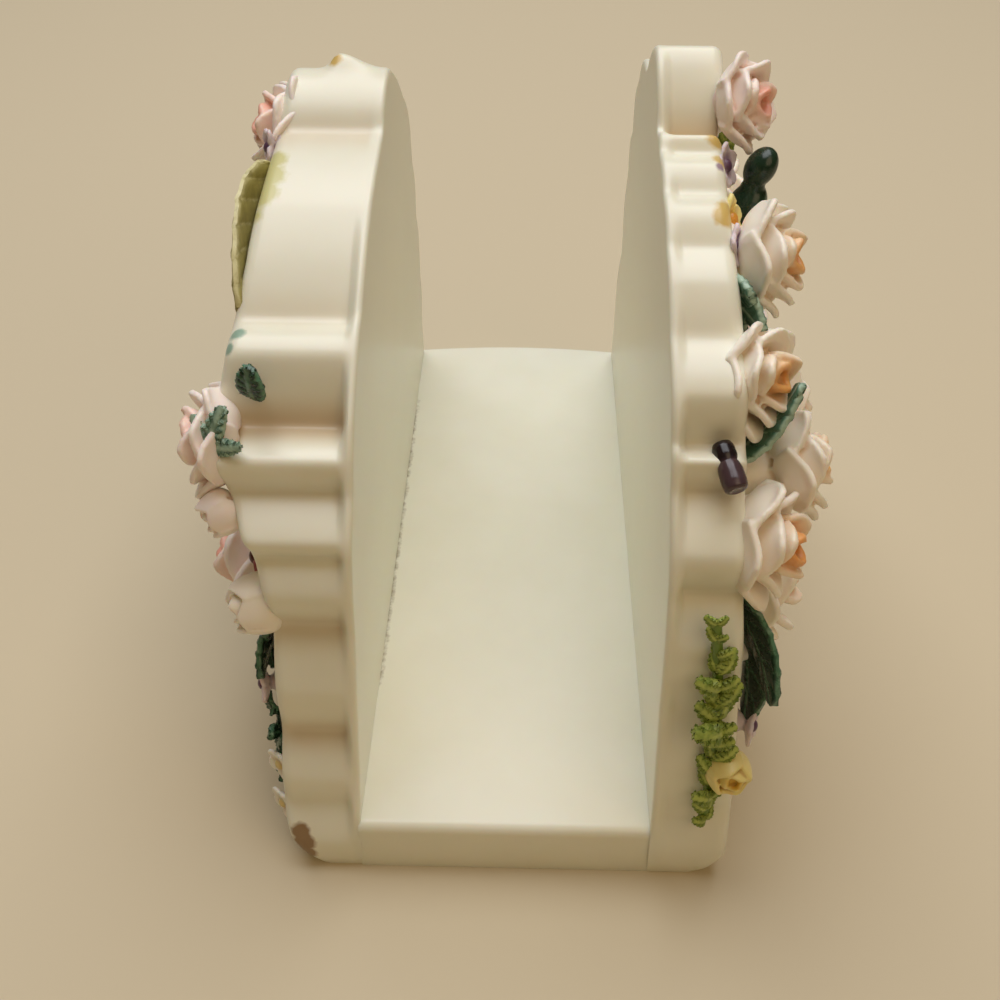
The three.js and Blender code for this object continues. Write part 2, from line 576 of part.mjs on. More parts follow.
const RIGHT_BOUQUET = [
  ['right_peak_rose', rose, PINK,
    { y: fromFront(68), z: rightDown(8), radius: 6.8, stand: 3, toFront: 28, toTop: 18 }],
  ['right_upper_rose', rose, CREAM,
    { y: fromFront(43), z: rightDown(20), radius: 7.8, stand: 2.3, toFront: 14, toTop: 12 }],
  ['right_shoulder_rose', rose, CREAM,
    { y: fromFront(27.3), z: rightDown(29.5), radius: 7, stand: -1.2, toFront: 34, toTop: 20 }],
  ['right_outer_rose', rose, CREAM,
    { y: fromFront(25), z: rightDown(46.5), radius: 7.6, stand: 6.5, toFront: -4, toTop: 14 }],
  ['right_front_rose', rose, PEACH,
    { y: fromFront(14.5), z: rightDown(48.5), radius: 8, stand: 0.6, toFront: 22, toTop: 4 }],
  ['right_front_fern', frond, FERN_GREEN,
    {
      y: fromFront(-0.2), z: rightShaft(16), heading: -3, lift: -2, roll: -82, setIn: 5.4,
      length: 45, pairs: 8, leaflet: 5, bend: 2,
    }],
  ['right_heart_rose', rose, PINK,
    { y: fromFront(57), z: rightDown(52), radius: 11, stand: 1.5, toTop: 8 }],
  ['right_low_rose', rose, CREAM,
    { y: fromFront(36), z: rightShaft(36), radius: 11, stand: 2.5, toTop: 5 }],
  ['right_back_rose', rose, PEACH,
    { y: fromBack(46), z: rightDown(38), radius: 8.5, stand: 2, toFront: -10, toTop: 10 }],
  ['right_far_rose', rose, CREAM,
    { y: fromBack(34), z: rightShaft(44), radius: 11, stand: 2.5, toFront: -12 }],
  ['right_peach_bud', bud, PEACH,
    { y: fromFront(34), z: rightDown(41), radius: 3, stand: 6.2, toTop: 10 }],
  ['right_yellow_bud', bud, YELLOW,
    { y: fromFront(3), z: rightShaft(28), radius: 3.4, stand: 0.8, toFront: 78, toTop: 25, setIn: 2.2 }],
  ['right_plum_pod', pod, PLUM,
    { y: fromFront(17), z: rightDown(30.5), radius: 2.2, stand: 3.4, toFront: 59, toTop: -29, setIn: 5.6 }],
  ['right_top_violet', blossom, VIOLET,
    { y: fromFront(57), z: rightDown(12.5), radius: 3.4, stand: 0, toFront: 18, toTop: 20 }],
  ['right_rim_violet', blossom, VIOLET,
    { y: fromFront(41), z: rightDown(16.5), radius: 3.2, stand: 0, toFront: 20, toTop: 20 }],
  ['right_low_violet', blossom, VIOLET,
    { y: fromFront(8), z: rightShaft(31), radius: 3.4, stand: 2.4, toFront: 20 }],
  ['right_yellow_blossom', blossom, YELLOW,
    { y: fromFront(48.5), z: rightDown(14), radius: 4, stand: 0.4, toFront: 15, toTop: 20 }],
  ['right_white_blossom', blossom, WHITE,
    { y: fromFront(12), z: rightShaft(44), radius: 3.6, stand: 4, toFront: 10 }],
  ['right_back_blossom', blossom, WHITE,
    { y: fromBack(57), z: rightShaft(30), radius: 5.2, stand: 1, toTop: 10 }],
  ['right_far_blossom', blossom, YELLOW,
    { y: fromBack(30), z: rightDown(50), radius: 4.6, stand: 1, toFront: -10 }],
  ['right_curled_leaf', leaf, DARK_GREEN,
    {
      y: fromFront(59), z: rightDown(20.5), heading: 8, lift: 42, setIn: 1.8, length: 13, width: 9, fan: 0.6,
    }],
  ['right_rose_leaf', leaf, MID_GREEN,
    {
      y: fromFront(36), z: rightDown(21), heading: 112, lift: 34, setIn: 2.4, length: 10, width: 7, fan: 0.8,
    }],
  ['right_upright_leaf', leaf, MID_GREEN,
    {
      y: fromFront(21), z: rightDown(40), heading: -8, lift: 38, setIn: 3, length: 17, width: 6,
    }],
  ['right_dark_leaf', leaf, DARK_GREEN,
    {
      y: fromFront(12), z: rightShaft(57), heading: 172, lift: 26, roll: -35, setIn: 1,
      length: 21, width: 10, fan: 0.75,
    }],
  ['right_heart_leaf', leaf, DARK_GREEN,
    {
      y: fromFront(58), z: rightDown(56), heading: 188, lift: 6, setIn: 0.8, length: 22, width: 12, fan: 1,
    }],
  ['right_back_leaf', leaf, MID_GREEN,
    { y: fromBack(52), z: rightDown(37), heading: -165, lift: 8, length: 18, width: 11, fan: 0.9 }],
  ['right_far_leaf', leaf, DARK_GREEN,
    { y: fromBack(28), z: rightShaft(39), heading: -125, lift: 6, length: 19, width: 11, fan: 0.9 }],
  ['right_low_leaf', leaf, MID_GREEN,
    { y: fromFront(42), z: rightShaft(32), heading: -125, lift: 6, length: 19, width: 11, fan: 0.9 }],
  ['right_top_fern', frond, FERN_GREEN,
    {
      y: fromBack(58), z: rightDown(30), heading: -6, lift: 4,
      length: 22, pairs: 4, leaflet: 7, bend: 2,
    }],
];

const LEFT_BOUQUET = [
  ['left_peak_rose', rose, PINK,
    { y: fromFront(82), z: leftDown(8.5), radius: 8, stand: -2, toFront: 6, toTop: 24 }],
  ['left_rim_rose', rose, PINK,
    { y: fromFront(27.5), z: leftDown(31.5), radius: 7.8, stand: -2, toFront: 8, toTop: 8 }],
  ['left_heart_rose', rose, CREAM,
    { y: fromFront(61), z: leftShaft(53), radius: 11, stand: 0.5, toTop: 8 }],
  ['left_low_rose', rose, PINK,
    { y: fromFront(38), z: leftShaft(36), radius: 11, stand: 2.5, toTop: 5 }],
  ['left_back_rose', rose, CREAM,
    { y: fromBack(36), z: leftDown(33.1), radius: 9.5, stand: 0, toFront: -12, toTop: 8 }],
  ['left_far_rose', rose, PEACH,
    { y: fromBack(32), z: leftShaft(41), radius: 11, stand: 2.5, toFront: -12 }],
  ['left_pink_bud', bud, PINK,
    { y: fromFront(21.5), z: leftDown(38.6), radius: 2.9, stand: 0.8, toFront: 30, toTop: -20 }],
  ['left_cream_bud', bud, CREAM,
    { y: fromFront(16), z: leftShaft(48.5), radius: 4.2, stand: -1.6, toFront: 20, toTop: 0 }],
  ['left_yellow_bud', bud, YELLOW,
    { y: fromBack(59), z: leftShaft(31), radius: 4.4, stand: 1.5, toTop: 10 }],
  ['left_top_violet', blossom, VIOLET,
    { y: fromFront(73), z: leftDown(7.7), radius: 3.2, stand: 0.4, toFront: 15, toTop: 10 }],
  ['left_low_violet', blossom, VIOLET,
    { y: fromFront(14.5), z: leftShaft(31), radius: 3.6, stand: 2.6, toFront: 15 }],
  ['left_back_violet', blossom, VIOLET,
    { y: fromBack(20), z: leftDown(44.1), radius: 4.6, stand: 1, toFront: -10 }],
  ['left_magenta_blossom', blossom, MAGENTA,
    { y: fromFront(25), z: leftShaft(50), radius: 4.4, stand: 3, toFront: 15 }],
  ['left_yellow_blossom', blossom, YELLOW,
    { y: fromFront(45), z: leftDown(38.5), radius: 4.6, stand: 0.8, toTop: 10 }],
  ['left_white_blossom', blossom, WHITE,
    { y: fromFront(8.5), z: leftShaft(17.5), radius: 3, stand: 0.5, toFront: 20 }],
  ['left_foot_blossom', blossom, WHITE,
    { y: fromFront(6), z: leftShaft(10), radius: 2.8, stand: 0.5, toFront: 20 }],
  ['left_olive_leaf', leaf, OLIVE,
    {
      y: fromFront(68.5), z: leftDown(8.5), heading: 105, lift: 3, setIn: 0.4,
      length: 30, width: 11, arch: 0.08, fold: 0.15,
    }],
  ['left_dark_leaf', leaf, DARK_GREEN,
    { y: fromFront(28), z: leftDown(27.1), heading: -5, roll: 70, setIn: 6.6, length: 9, width: 6 }],
  ['left_ivy_leaf', leaf, DARK_GREEN,
    {
      y: fromFront(22.5), z: leftDown(29.1), heading: -12, lift: -20, roll: 62, setIn: 1.6,
      length: 9, width: 5, fan: 1,
    }],
  ['left_bud_leaf', leaf, DARK_GREEN,
    { y: fromFront(22), z: leftShaft(37), heading: 100, lift: 12, length: 11, width: 7, fan: 0.8 }],
  ['left_heart_leaf', leaf, MID_GREEN,
    { y: fromFront(60), z: leftShaft(45), heading: 188, lift: 8, length: 22, width: 12, fan: 1 }],
  ['left_shoulder_leaf', leaf, MID_GREEN,
    { y: fromFront(58), z: leftDown(31.6), heading: -80, lift: 4, length: 22, width: 12, fan: 0.9 }],
  ['left_back_leaf', leaf, DARK_GREEN,
    { y: fromBack(41), z: leftDown(23.1), heading: 10, lift: 8, length: 16, width: 10, fan: 0.9 }],
  ['left_mid_leaf', leaf, DARK_GREEN,
    { y: fromBack(42), z: leftDown(37.5), heading: 175, lift: 8, length: 17, width: 10, fan: 0.8 }],
  ['left_far_leaf', leaf, MID_GREEN,
    { y: fromBack(26), z: leftShaft(35), heading: -135, lift: 6, length: 19, width: 11, fan: 0.9 }],
  ['left_low_leaf', leaf, MID_GREEN,
    { y: fromFront(44), z: leftShaft(31), heading: -130, lift: 6, length: 19, width: 11, fan: 0.9 }],
  ['left_front_sprig', frond, DARK_GREEN,
    { y: fromFront(9), z: leftShaft(5), heading: -6, lift: 5, length: 22, pairs: 4, leaflet: 6, bend: -2 }],
  ['left_back_fern', frond, FERN_GREEN,
    { y: fromBack(30), z: leftShaft(56), heading: -55, lift: 4, length: 20, pairs: 4, leaflet: 7, bend: 2 }],
];

// The space that a panel fills, with the glue's gap all round it
function panelRoom(side, outline) {
  const depth = Math.max(...FACES[side].map(([width]) => width)) + GLUE_GAP;
  const hull = new THREE.ExtrudeGeometry(scallopedShape(outline, 1), {
    depth, curveSegments: 2, bevelThickness: GLUE_GAP, bevelSize: GLUE_GAP, bevelSegments: 1,
  });
  const start = side * SLOT_WIDTH / 2 - (side === LEFT ? depth : 0);
  return toSolid(leanIn(acrossSlot(hull, start), side))
    .intersect(toSolid(leanIn(facePrism(side, GLUE_GAP), side)));
}

// Sets every piece of a bouquet on its panel, each trimmed to leave room for those before it
function arrange(side, outline, bouquet) {
  const face = panelRoom(side, outline);
  const taken = [];
  return bouquet.map(([name, kind, colour, sizes]) => {
    const piece = kind(sizes);
    const place = sizes.heading === undefined
      ? flowerPlace(side, sizes, piece.rise)
      : leafPlace(side, sizes);
    const matrix = place.elements;
    let solid = piece.solid().transform(matrix).subtract(face);
    taken.forEach((room) => { solid = solid.subtract(room); });
    const rooms = [piece.room()].flat().map((room) => toSolid(room).transform(matrix));
    taken.push(...rooms);
    return makeMesh(name, largestBody(solid), colour);
  });
}

function makeMesh(name, solid, colour) {
  const material = new THREE.MeshStandardMaterial({ color: colour, roughness: 0.35, metalness: 0 });
  const mesh = new THREE.Mesh(toGeometry(solid), material);
  mesh.name = name;
  return mesh;
}

const napkinHolder = new THREE.Group();
napkinHolder.add(makeMesh('base_slab', baseSlab(), IVORY));
napkinHolder.add(makeMesh('left_panel', panel(LEFT, LEFT_OUTLINE), IVORY));
napkinHolder.add(makeMesh('right_panel', panel(RIGHT, RIGHT_OUTLINE), IVORY));
napkinHolder.add(...arrange(LEFT, LEFT_OUTLINE, LEFT_BOUQUET));
napkinHolder.add(...arrange(RIGHT, RIGHT_OUTLINE, RIGHT_BOUQUET));

export default napkinHolder;
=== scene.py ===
# %% [markdown]
# # A napkin holder in painted cast resin
# The real holder was poured in ivory resin in soft rubber moulds, and its roses and leaves were
# painted by hand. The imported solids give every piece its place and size. This lesson gives each of
# them the soft edges, the fine petals and the brushed colours that the solids leave out.

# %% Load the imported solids
import math
from collections import namedtuple

import bmesh
import bpy
import numpy as np
from mathutils import Matrix, Vector


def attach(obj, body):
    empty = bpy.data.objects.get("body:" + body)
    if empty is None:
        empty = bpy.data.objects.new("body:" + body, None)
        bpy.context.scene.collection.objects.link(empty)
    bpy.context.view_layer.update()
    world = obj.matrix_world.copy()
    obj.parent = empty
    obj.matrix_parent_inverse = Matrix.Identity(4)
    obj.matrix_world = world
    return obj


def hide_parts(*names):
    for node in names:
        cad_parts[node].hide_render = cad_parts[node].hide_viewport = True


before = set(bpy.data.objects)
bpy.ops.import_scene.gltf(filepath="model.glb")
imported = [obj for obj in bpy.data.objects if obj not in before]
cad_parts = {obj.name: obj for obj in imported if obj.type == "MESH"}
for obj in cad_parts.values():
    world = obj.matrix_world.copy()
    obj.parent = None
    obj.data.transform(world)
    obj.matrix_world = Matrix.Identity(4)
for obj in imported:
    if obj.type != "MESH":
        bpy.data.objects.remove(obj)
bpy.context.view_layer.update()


# %% [markdown]
# ## Shared sizes
# All lengths are written in millimetres, as a maker would measure them, and turned to metres when a
# mesh is made. The slot runs along Y with its front end at -Y, and the underside is at height 0.

# %% Shared sizes
MM = 0.001
LEFT, RIGHT = -1, 1
SLOT_WIDTH = 45.0
SLOT_SPLAY = 0.011
BASE_LENGTH = 133.0
FLOOR_HEIGHT = 11.5
PANEL_LEAN = 0.02


def front(inset):
    return -BASE_LENGTH / 2 + inset


def back(inset):
    return BASE_LENGTH / 2 - inset


def slot_side(y, z):
    """Half the slot's width: it widens to the front, and the panels lean in a little."""
    return SLOT_WIDTH / 2 + SLOT_SPLAY * (back(0) - y) - PANEL_LEAN * (z - FLOOR_HEIGHT)


print("slot's width in front and at the back:",
      [round(2 * slot_side(y, FLOOR_HEIGHT), 2) for y in (front(0), back(0))])

# %% [markdown]
# ## The camera
# The camera was found by fitting the straight edges of the slot in the photograph: it stands in
# front of one end, a little right of the middle, and looks down along the slot.

# %% The camera
FOCAL_SHARE = 1.3
SENSOR = 36.0
CLIP_START = 0.01
CAMERA_AT = Vector((2.71, -187.92, 197.05)) * MM
PITCH, YAW, ROLL = 0.744279, -0.0275621, -0.0026920


def add_object(name, data):
    made = bpy.data.objects.new(name, data)
    bpy.context.scene.collection.objects.link(made)
    return made


turns = ((-YAW, "Z"), (math.pi / 2 - PITCH, "X"), (ROLL, "Z"))
yawed, pitched, rolled = [Matrix.Rotation(angle, 4, axis) for angle, axis in turns]
camera_data = bpy.data.cameras.new("photo_camera")
camera_data.sensor_fit = "HORIZONTAL"
camera_data.sensor_width = SENSOR
camera_data.lens = FOCAL_SHARE * SENSOR
camera_data.clip_start = CLIP_START
camera = add_object("photo_camera", camera_data)
camera.matrix_world = Matrix.Translation(CAMERA_AT) @ yawed @ pitched @ rolled
bpy.context.scene.camera = camera
print("lens", round(camera_data.lens, 1), "mm")

# %% [markdown]
# ## Colours and shader nodes
# Paint colours are easiest to read as sRGB hex values, but shaders work in linear light, so one
# function turns the first into the second. A second adds any node with its settings and links. The
# rest are short names for the nodes that the materials share. A range is written as (from low,
# from high, to low, to high), and a grain is a bump's strength and its depth.

# %% Colours and shader nodes
SPAN = ("From Min", "From Max", "To Min", "To Max")


def linear(code):
    shares = [int(code[i:i + 2], 16) / 255 for i in (1, 3, 5)]
    return (*[c / 12.92 if c <= 0.04045 else ((c + 0.055) / 1.055) ** 2.4 for c in shares], 1.0)


def add_node(tree, kind, inputs=None, **settings):
    made = tree.nodes.new(kind)
    for name, value in settings.items():
        setattr(made, name, value)
    for socket, value in (inputs or {}).items():
        if isinstance(value, bpy.types.NodeSocket):
            tree.links.new(value, made.inputs[socket])
        else:
            made.inputs[socket].default_value = value
    return made


def new_material(name):
    material = bpy.data.materials.new(name)
    material.use_nodes = True
    material.node_tree.nodes.clear()
    return material, material.node_tree


def marked(tree, name):
    return add_node(tree, "ShaderNodeAttribute", attribute_name=name).outputs["Fac"]


def noise(tree, grain, **settings):
    place = add_node(tree, "ShaderNodeTexCoord").outputs["Object"]
    return add_node(tree, "ShaderNodeTexNoise", {
        "Vector": place, "Scale": 1 / (grain * MM), **settings}).outputs["Fac"]


def reckoned(tree, operation, *values):
    made = add_node(tree, "ShaderNodeMath", dict(enumerate(values)), operation=operation)
    return made.outputs[0]


def ranged(tree, value, span, curve="LINEAR"):
    made = add_node(tree, "ShaderNodeMapRange", {"Value": value, **dict(zip(SPAN, span))},
                    interpolation_type=curve)
    return made.outputs[0]


def mixed(tree, share, first, second):
    """Mix two colours: hex values, or the results of other nodes."""
    first, second = [linear(c) if isinstance(c, str) else c for c in (first, second)]
    made = add_node(tree, "ShaderNodeMix", {0: share, 6: first, 7: second}, data_type="RGBA")
    return made.outputs[2]


def add_skin(tree, colour, roughness, relief, grain, optics):
    strength, depth = grain
    bump = add_node(tree, "ShaderNodeBump", {
        "Height": relief, "Strength": strength, "Distance": depth * MM})
    skin = add_node(tree, "ShaderNodeBsdfPrincipled", {
        "Base Color": colour, "Roughness": roughness, "Normal": bump.outputs[0], **optics})
    add_node(tree, "ShaderNodeOutputMaterial", {"Surface": skin.outputs[0]})


print("middle grey in linear light:", [round(c, 3) for c in linear("#808080")])

# %% [markdown]
# ## Cast ivory resin
# Polyester resin with a mineral filler, poured white and tinted ivory, leaves the mould with a
# satin skin. Its hollows get a warmer brown tone, partly a brown wash and partly painted shade,
# and a darker, broken line runs along the floor's left corner. The hollows are marked on the mesh,
# so that the tone follows the form from every side. So are a few daubs, where the painter's colours
# ran over from the flowers, and a dark brown patch on the left foot: each has a colour and spots
# as (x, y, z, radius).

# %% Cast ivory resin
CLOUD_MM, SPECK_MM = 14.0, 1.1
RESIN_TONES = "#e8e6d0", "#f1f0e0"
RESIN_GLOSS, RESIN_GRAIN = (0.0, 1.0, 0.26, 0.4), (0.08, 0.4)
WASH_AND_SHADE_TONE, WASH_AND_SHADE_COVER = "#bb9358", (0.0, 0.9, 0.0, 0.85)
LEFT_CORNER_TONE, LEFT_CORNER_COVER = "#84734c", (0.28, 0.62, 0.0, 0.75)
DAUB_COVER, DAUB_RAGGED = (0.42, 0.72, 0.0, 0.9), 0.35
RESIN_OPTICS = {"IOR": 1.52, "Subsurface Weight": 0.2, "Subsurface Radius": (1.0, 0.6, 0.3),
                "Subsurface Scale": 2.5 * MM}
DAUBS = {
    "ochre": ("#cfae55", [(-30, 19.6, 104.4, 1.3), (30.4, -9, 105.8, 1.8), (31, -13, 104.9, 1.9),
                          (31.4, -23, 101.9, 2.4), (30.2, -24.5, 101.9, 1.8)]),
    "lime": ("#cdc987", [(-38.4, -1, 96.8, 2.6), (-38.6, -5, 96.5, 3), (-39.2, -9, 95.9, 3),
                         (-40.4, -13, 95, 2)]),
    "mauve": ("#94788c", [(30.4, -15.4, 105, 1), (31.9, -30, 99.4, 1.2), (32.4, -32.5, 98.4, 1)]),
    # A dark brown patch on the left foot's front corner.
    "dark_foot_patch": ("#86602a", [(-33.4, -67, 4, 1.7), (-33.8, -67, 6.5, 2), (-34.2, -66.8, 9, 1.8)]),
    "green": ("#86a894", [(-40.2, -31.5, 85, 1.3), (-41.2, -33.8, 84.2, 1)]),
}


def cast_ivory_resin():
    material, tree = new_material("cast ivory resin")
    clouds = noise(tree, CLOUD_MM, Detail=3.0, Roughness=0.55)
    specks = noise(tree, SPECK_MM, Detail=2.0)
    # Hollows get a warmer brown, partly a brown wash and partly painted shade.
    wash_and_shade = ranged(tree, marked(tree, "hollow"), WASH_AND_SHADE_COVER, "SMOOTHSTEP")
    colour = mixed(tree, wash_and_shade, mixed(tree, clouds, *RESIN_TONES), WASH_AND_SHADE_TONE)
    for name, (tone, _) in DAUBS.items():
        ragged = reckoned(tree, "MULTIPLY_ADD", specks, DAUB_RAGGED, marked(tree, name))
        colour = mixed(tree, ranged(tree, ragged, DAUB_COVER), colour, tone)
    # A darker, broken line along the floor's left corner.
    ragged_corner = reckoned(tree, "MULTIPLY", marked(tree, "dust"), specks)
    colour = mixed(tree, ranged(tree, ragged_corner, LEFT_CORNER_COVER), colour, LEFT_CORNER_TONE)
    gloss = ranged(tree, clouds, RESIN_GLOSS)
    add_skin(tree, colour, gloss, clouds, RESIN_GRAIN, RESIN_OPTICS)
    return material


IVORY_RESIN = cast_ivory_resin()
print("made", IVORY_RESIN.name)

# %% [markdown]
# ## Hand painted petals
# The painter brushed thin acrylic over the white cast: pale at the lips, warmer towards the heart.
# The folds get the deepest tone, partly a wash and partly painted shade. Four colours, for lip,
# cheek, heart and fold, and two marks on the mesh do this: `blush` grows towards the heart, and a
# second mark finds the folds. A noise gives the brush strokes. The plum pod is glossier, as its
# last number says.

# %% Hand painted petals
STROKE_MM = 1.6
PETAL_SHEEN, PETAL_GRAIN = (-0.06, 0.1), (0.12, 0.15)
BRUSH_UNEVEN = (0.0, 1.0, -0.16, 0.16)
CHEEK_COVER, HEART_COVER = (0.08, 0.55, 0.0, 1.0), (0.5, 0.95, 0.0, 1.0)
FOLD_COVER = (0.15, 0.95, 0.0, 0.55)
PAINT_OPTICS = {"IOR": 1.49}
PETAL_OPTICS = {**PAINT_OPTICS, "Subsurface Weight": 0.25, "Subsurface Radius": (1.0, 0.5, 0.25),
                "Subsurface Scale": 1.2 * MM}
PETAL_TONES = {
    "cream": ("#fbf2e4", "#f6e3c8", "#e8ad66", "#dbbd94"),
    "pink": ("#fbeee6", "#f5d6c6", "#eaa993", "#dab29c"),
    "peach": ("#fbf0e0", "#f6dcbc", "#e8a560", "#dbb68e"),
    "yellow": ("#ecdc90", "#e0bf50", "#cf8f2e", "#a8772c"),
    "white": ("#f4f0e6", "#ebe3d3", "#dfc98a", "#bfae90"),
    "violet": ("#d8cbd0", "#a98ea2", "#5d3f58", "#6a5064"),
    "magenta": ("#b06a76", "#8a4450", "#5e2630", "#4f2830"),
    "plum": ("#4a383c", "#33252a", "#1f1619", "#171012", 0.2),
}


def petal_paint(name, lip, cheek, heart, fold, gloss=0.38):
    material, tree = new_material(name)
    strokes = noise(tree, STROKE_MM, Detail=3.0, Distortion=0.6)
    brushed = reckoned(tree, "ADD", marked(tree, "blush"), ranged(tree, strokes, BRUSH_UNEVEN))
    to_cheek = ranged(tree, brushed, CHEEK_COVER, "SMOOTHSTEP")
    to_heart = ranged(tree, brushed, HEART_COVER, "SMOOTHSTEP")
    warm = mixed(tree, to_heart, mixed(tree, to_cheek, lip, cheek), heart)
    # The folds get a darker tone, partly a wash and partly painted shade.
    colour = mixed(tree, ranged(tree, marked(tree, "hollow"), FOLD_COVER), warm, fold)
    sheen = ranged(tree, strokes, (0.0, 1.0, *[gloss + s for s in PETAL_SHEEN]))
    add_skin(tree, colour, sheen, strokes, PETAL_GRAIN, PETAL_OPTICS)
    return material


PAINTS = {tint + "_paint": petal_paint(tint + " acrylic on resin", *tones)
          for tint, tones in PETAL_TONES.items()}
print(len(PAINTS), "petal paints")

# %% [markdown]
# ## Hand painted leaves
# The leaves got a dark green coat, and a nearly dry brush of light green then caught their raised
# veins and edges. The mark `vein` on each leaf says where that brush touched. Each row is a name,
# the colours of coat, brush and shade, and the gloss.

# %% Hand painted leaves
DRY_COVER = (0.12, 0.55, 0.0, 0.85)
LEAF_SHEEN, LEAF_GRAIN = (-0.08, 0.14), (0.15, 0.15)
LEAF_TONES = {
    "dark_green": ("dark green", "#1f3d2a", "#5d8a6c", "#122318", 0.24),
    "mid_green": ("blue green", "#52806a", "#b2ccb6", "#2f5140", 0.3),
    "olive": ("olive", "#b9b06a", "#e2dcaa", "#7d7238", 0.4),
    "fern": ("fern green", "#7d9a30", "#b9c662", "#4a6a1d", 0.42),
}


def leaf_paint(name, coat, brush, shade, gloss):
    material, tree = new_material(name + " acrylic on resin")
    strokes = noise(tree, STROKE_MM, Detail=4.0, Distortion=0.8)
    touched = reckoned(tree, "MULTIPLY", marked(tree, "vein"), strokes)
    patchy = mixed(tree, strokes, shade, coat)
    colour = mixed(tree, ranged(tree, touched, DRY_COVER), patchy, brush)
    sheen = ranged(tree, strokes, (0.0, 1.0, *[gloss + s for s in LEAF_SHEEN]))
    add_skin(tree, colour, sheen, strokes, LEAF_GRAIN, PAINT_OPTICS)
    return material


PAINTS.update({tint + "_paint": leaf_paint(*tones) for tint, tones in LEAF_TONES.items()})
print(len(PAINTS), "paints in all")

# %% [markdown]
# ## From points to finished pieces
# Most pieces start as arrays of points. One function turns them into a mesh and stores its marks, a
# second also welds it and turns its faces outwards, and another gives a finished mesh its material
# and its body and hides the imported part that it stands for.

# %% From points to finished pieces
WELD = 0.002


def mark(mesh, name, values):
    layer = mesh.attributes.new(name, "FLOAT", "POINT")
    layer.data.foreach_set("value", np.asarray(values, np.float32))


def plain_mesh(name, points, faces, edges=(), **marks):
    mesh = bpy.data.meshes.new(name)
    loops = [tuple(int(i) for i in face) for face in faces]
    mesh.from_pydata((np.asarray(points) * MM).tolist(), list(edges), loops)
    for layer, values in marks.items():
        mark(mesh, layer, values)
    return mesh


def welded_mesh(name, points, faces, **marks):
    mesh = plain_mesh(name, points, faces, **marks)
    shell = bmesh.new()
    shell.from_mesh(mesh)
    bmesh.ops.remove_doubles(shell, verts=shell.verts, dist=WELD * MM)
    bmesh.ops.recalc_face_normals(shell, faces=shell.faces)
    shell.to_mesh(mesh)
    shell.free()
    return mesh


def grid_quads(index):
    corners = [index[:-1, :-1], index[:-1, 1:], index[1:, 1:], index[1:, :-1]]
    return np.stack(corners, -1).reshape(-1, 4)


def finished(name, mesh, material, slot, *cad_nodes, crease):
    mesh.materials.clear()
    mesh.materials.append(material)
    mesh.shade_smooth()
    mesh.set_sharp_from_angle(angle=math.radians(crease))
    piece = add_object(name, mesh)
    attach(piece, "root")
    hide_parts(*cad_nodes)
    return piece


def evaluated_mesh(helper):
    bpy.context.view_layer.update()
    graph = bpy.context.evaluated_depsgraph_get()
    mesh = bpy.data.meshes.new_from_object(helper.evaluated_get(graph), depsgraph=graph)
    bpy.data.objects.remove(helper)
    return mesh


print("quads of a grid of 3 by 4 points:", len(grid_quads(np.arange(12).reshape(3, 4))))

# %% [markdown]
# ## Scalloped outlines
# A panel's edge is a chain of scallops, from the front foot over the top to the back foot. Each row
# is a hollow between two scallops, with its depth, and the crest of the scallop after it, which
# rises and falls like a worn stair. A share below 1 makes the hollows shallower, as they are near
# the smooth rim on the slot side.

# %% Scalloped outlines
STEP, LEAST_STEPS = 0.55, 4
SCALLOP_SWELL = 0.35
SOFTEN_ROUNDS = 5


def steps(place, *rows):
    return [(place(y), z, depth, place(crest_y), crest_z) for y, z, depth, crest_y, crest_z in rows]


LEFT_OUTLINE = steps(
    front, (-0.2, 0, 0, -0.6, 7), (0.4, 14, 2.8, 3.1, 20), (4.2, 27.6, 3.8, 7, 37),
    (9.4, 48, 3.2, 10.7, 54.5), (12, 60.8, 3, 13.4, 63.4), (17.3, 69.2, 3.7, 20, 73.6),
    (23, 79.1, 7.5, 31.4, 84.5), (37.8, 87.6, 3, 54.9, 95.5), (74.3, 98.1, 0.4, 86.5, 103.1)
) + steps(
    back, (26, 89, 2.4, 17.5, 80.6), (14, 69, 2, 9.4, 62.2), (9, 54, 2.4, 4.4, 46),
    (4, 37, 2, 1.3, 29), (2.5, 21, 2, 0.1, 14.7), (1, 8, 1.4, 0.1, 4), (0.5, 0, 0, 0.5, 0))
RIGHT_OUTLINE = steps(
    front, (-0.5, 0, 0, -1, 7.5), (-0.5, 15, 1.2, 0.8, 28), (2.2, 40, 0.8, 2.8, 54),
    (3.8, 62.1, 4, 6.2, 68.7), (11.1, 76.4, 3.5, 13.3, 80.7), (14.6, 82.5, 5, 18.8, 87.8),
    (26.1, 92.5, 1.4, 32.2, 97.3), (37.8, 99.6, 0.9, 42.4, 102.3), (47, 103.1, 0.9, 51.2, 104.9),
    (55.5, 104.9, 0.8, 58, 106.3), (60.6, 105.8, 4, 71, 114)
) + steps(
    back, (50, 105, 2, 41.8, 103.1), (36, 97, 2, 30.4, 91.6), (29, 84, 2.2, 23.9, 79.1),
    (23, 72, 2, 17.5, 62.2), (17, 51, 2.6, 8, 38.2), (4, 23, 2, 0.5, 11.8), (0.5, 0, 0, 0.5, 0))


def outward(start, end):
    way = end - start
    return np.stack([-way[..., 1], way[..., 0]], -1) / np.linalg.norm(way, axis=-1, keepdims=True)


def even_out(line, rounds):
    line = line.copy()
    for _ in range(rounds):
        line[1:-1] += 0.5 * ((line[:-2] + line[2:]) / 2 - line[1:-1])
    return line


def quadratic(start, pull, end, steps):
    t = np.linspace(0, 1, steps, endpoint=False)[:, None]
    return (1 - t) ** 2 * start + 2 * t * (1 - t) * pull + t * t * end


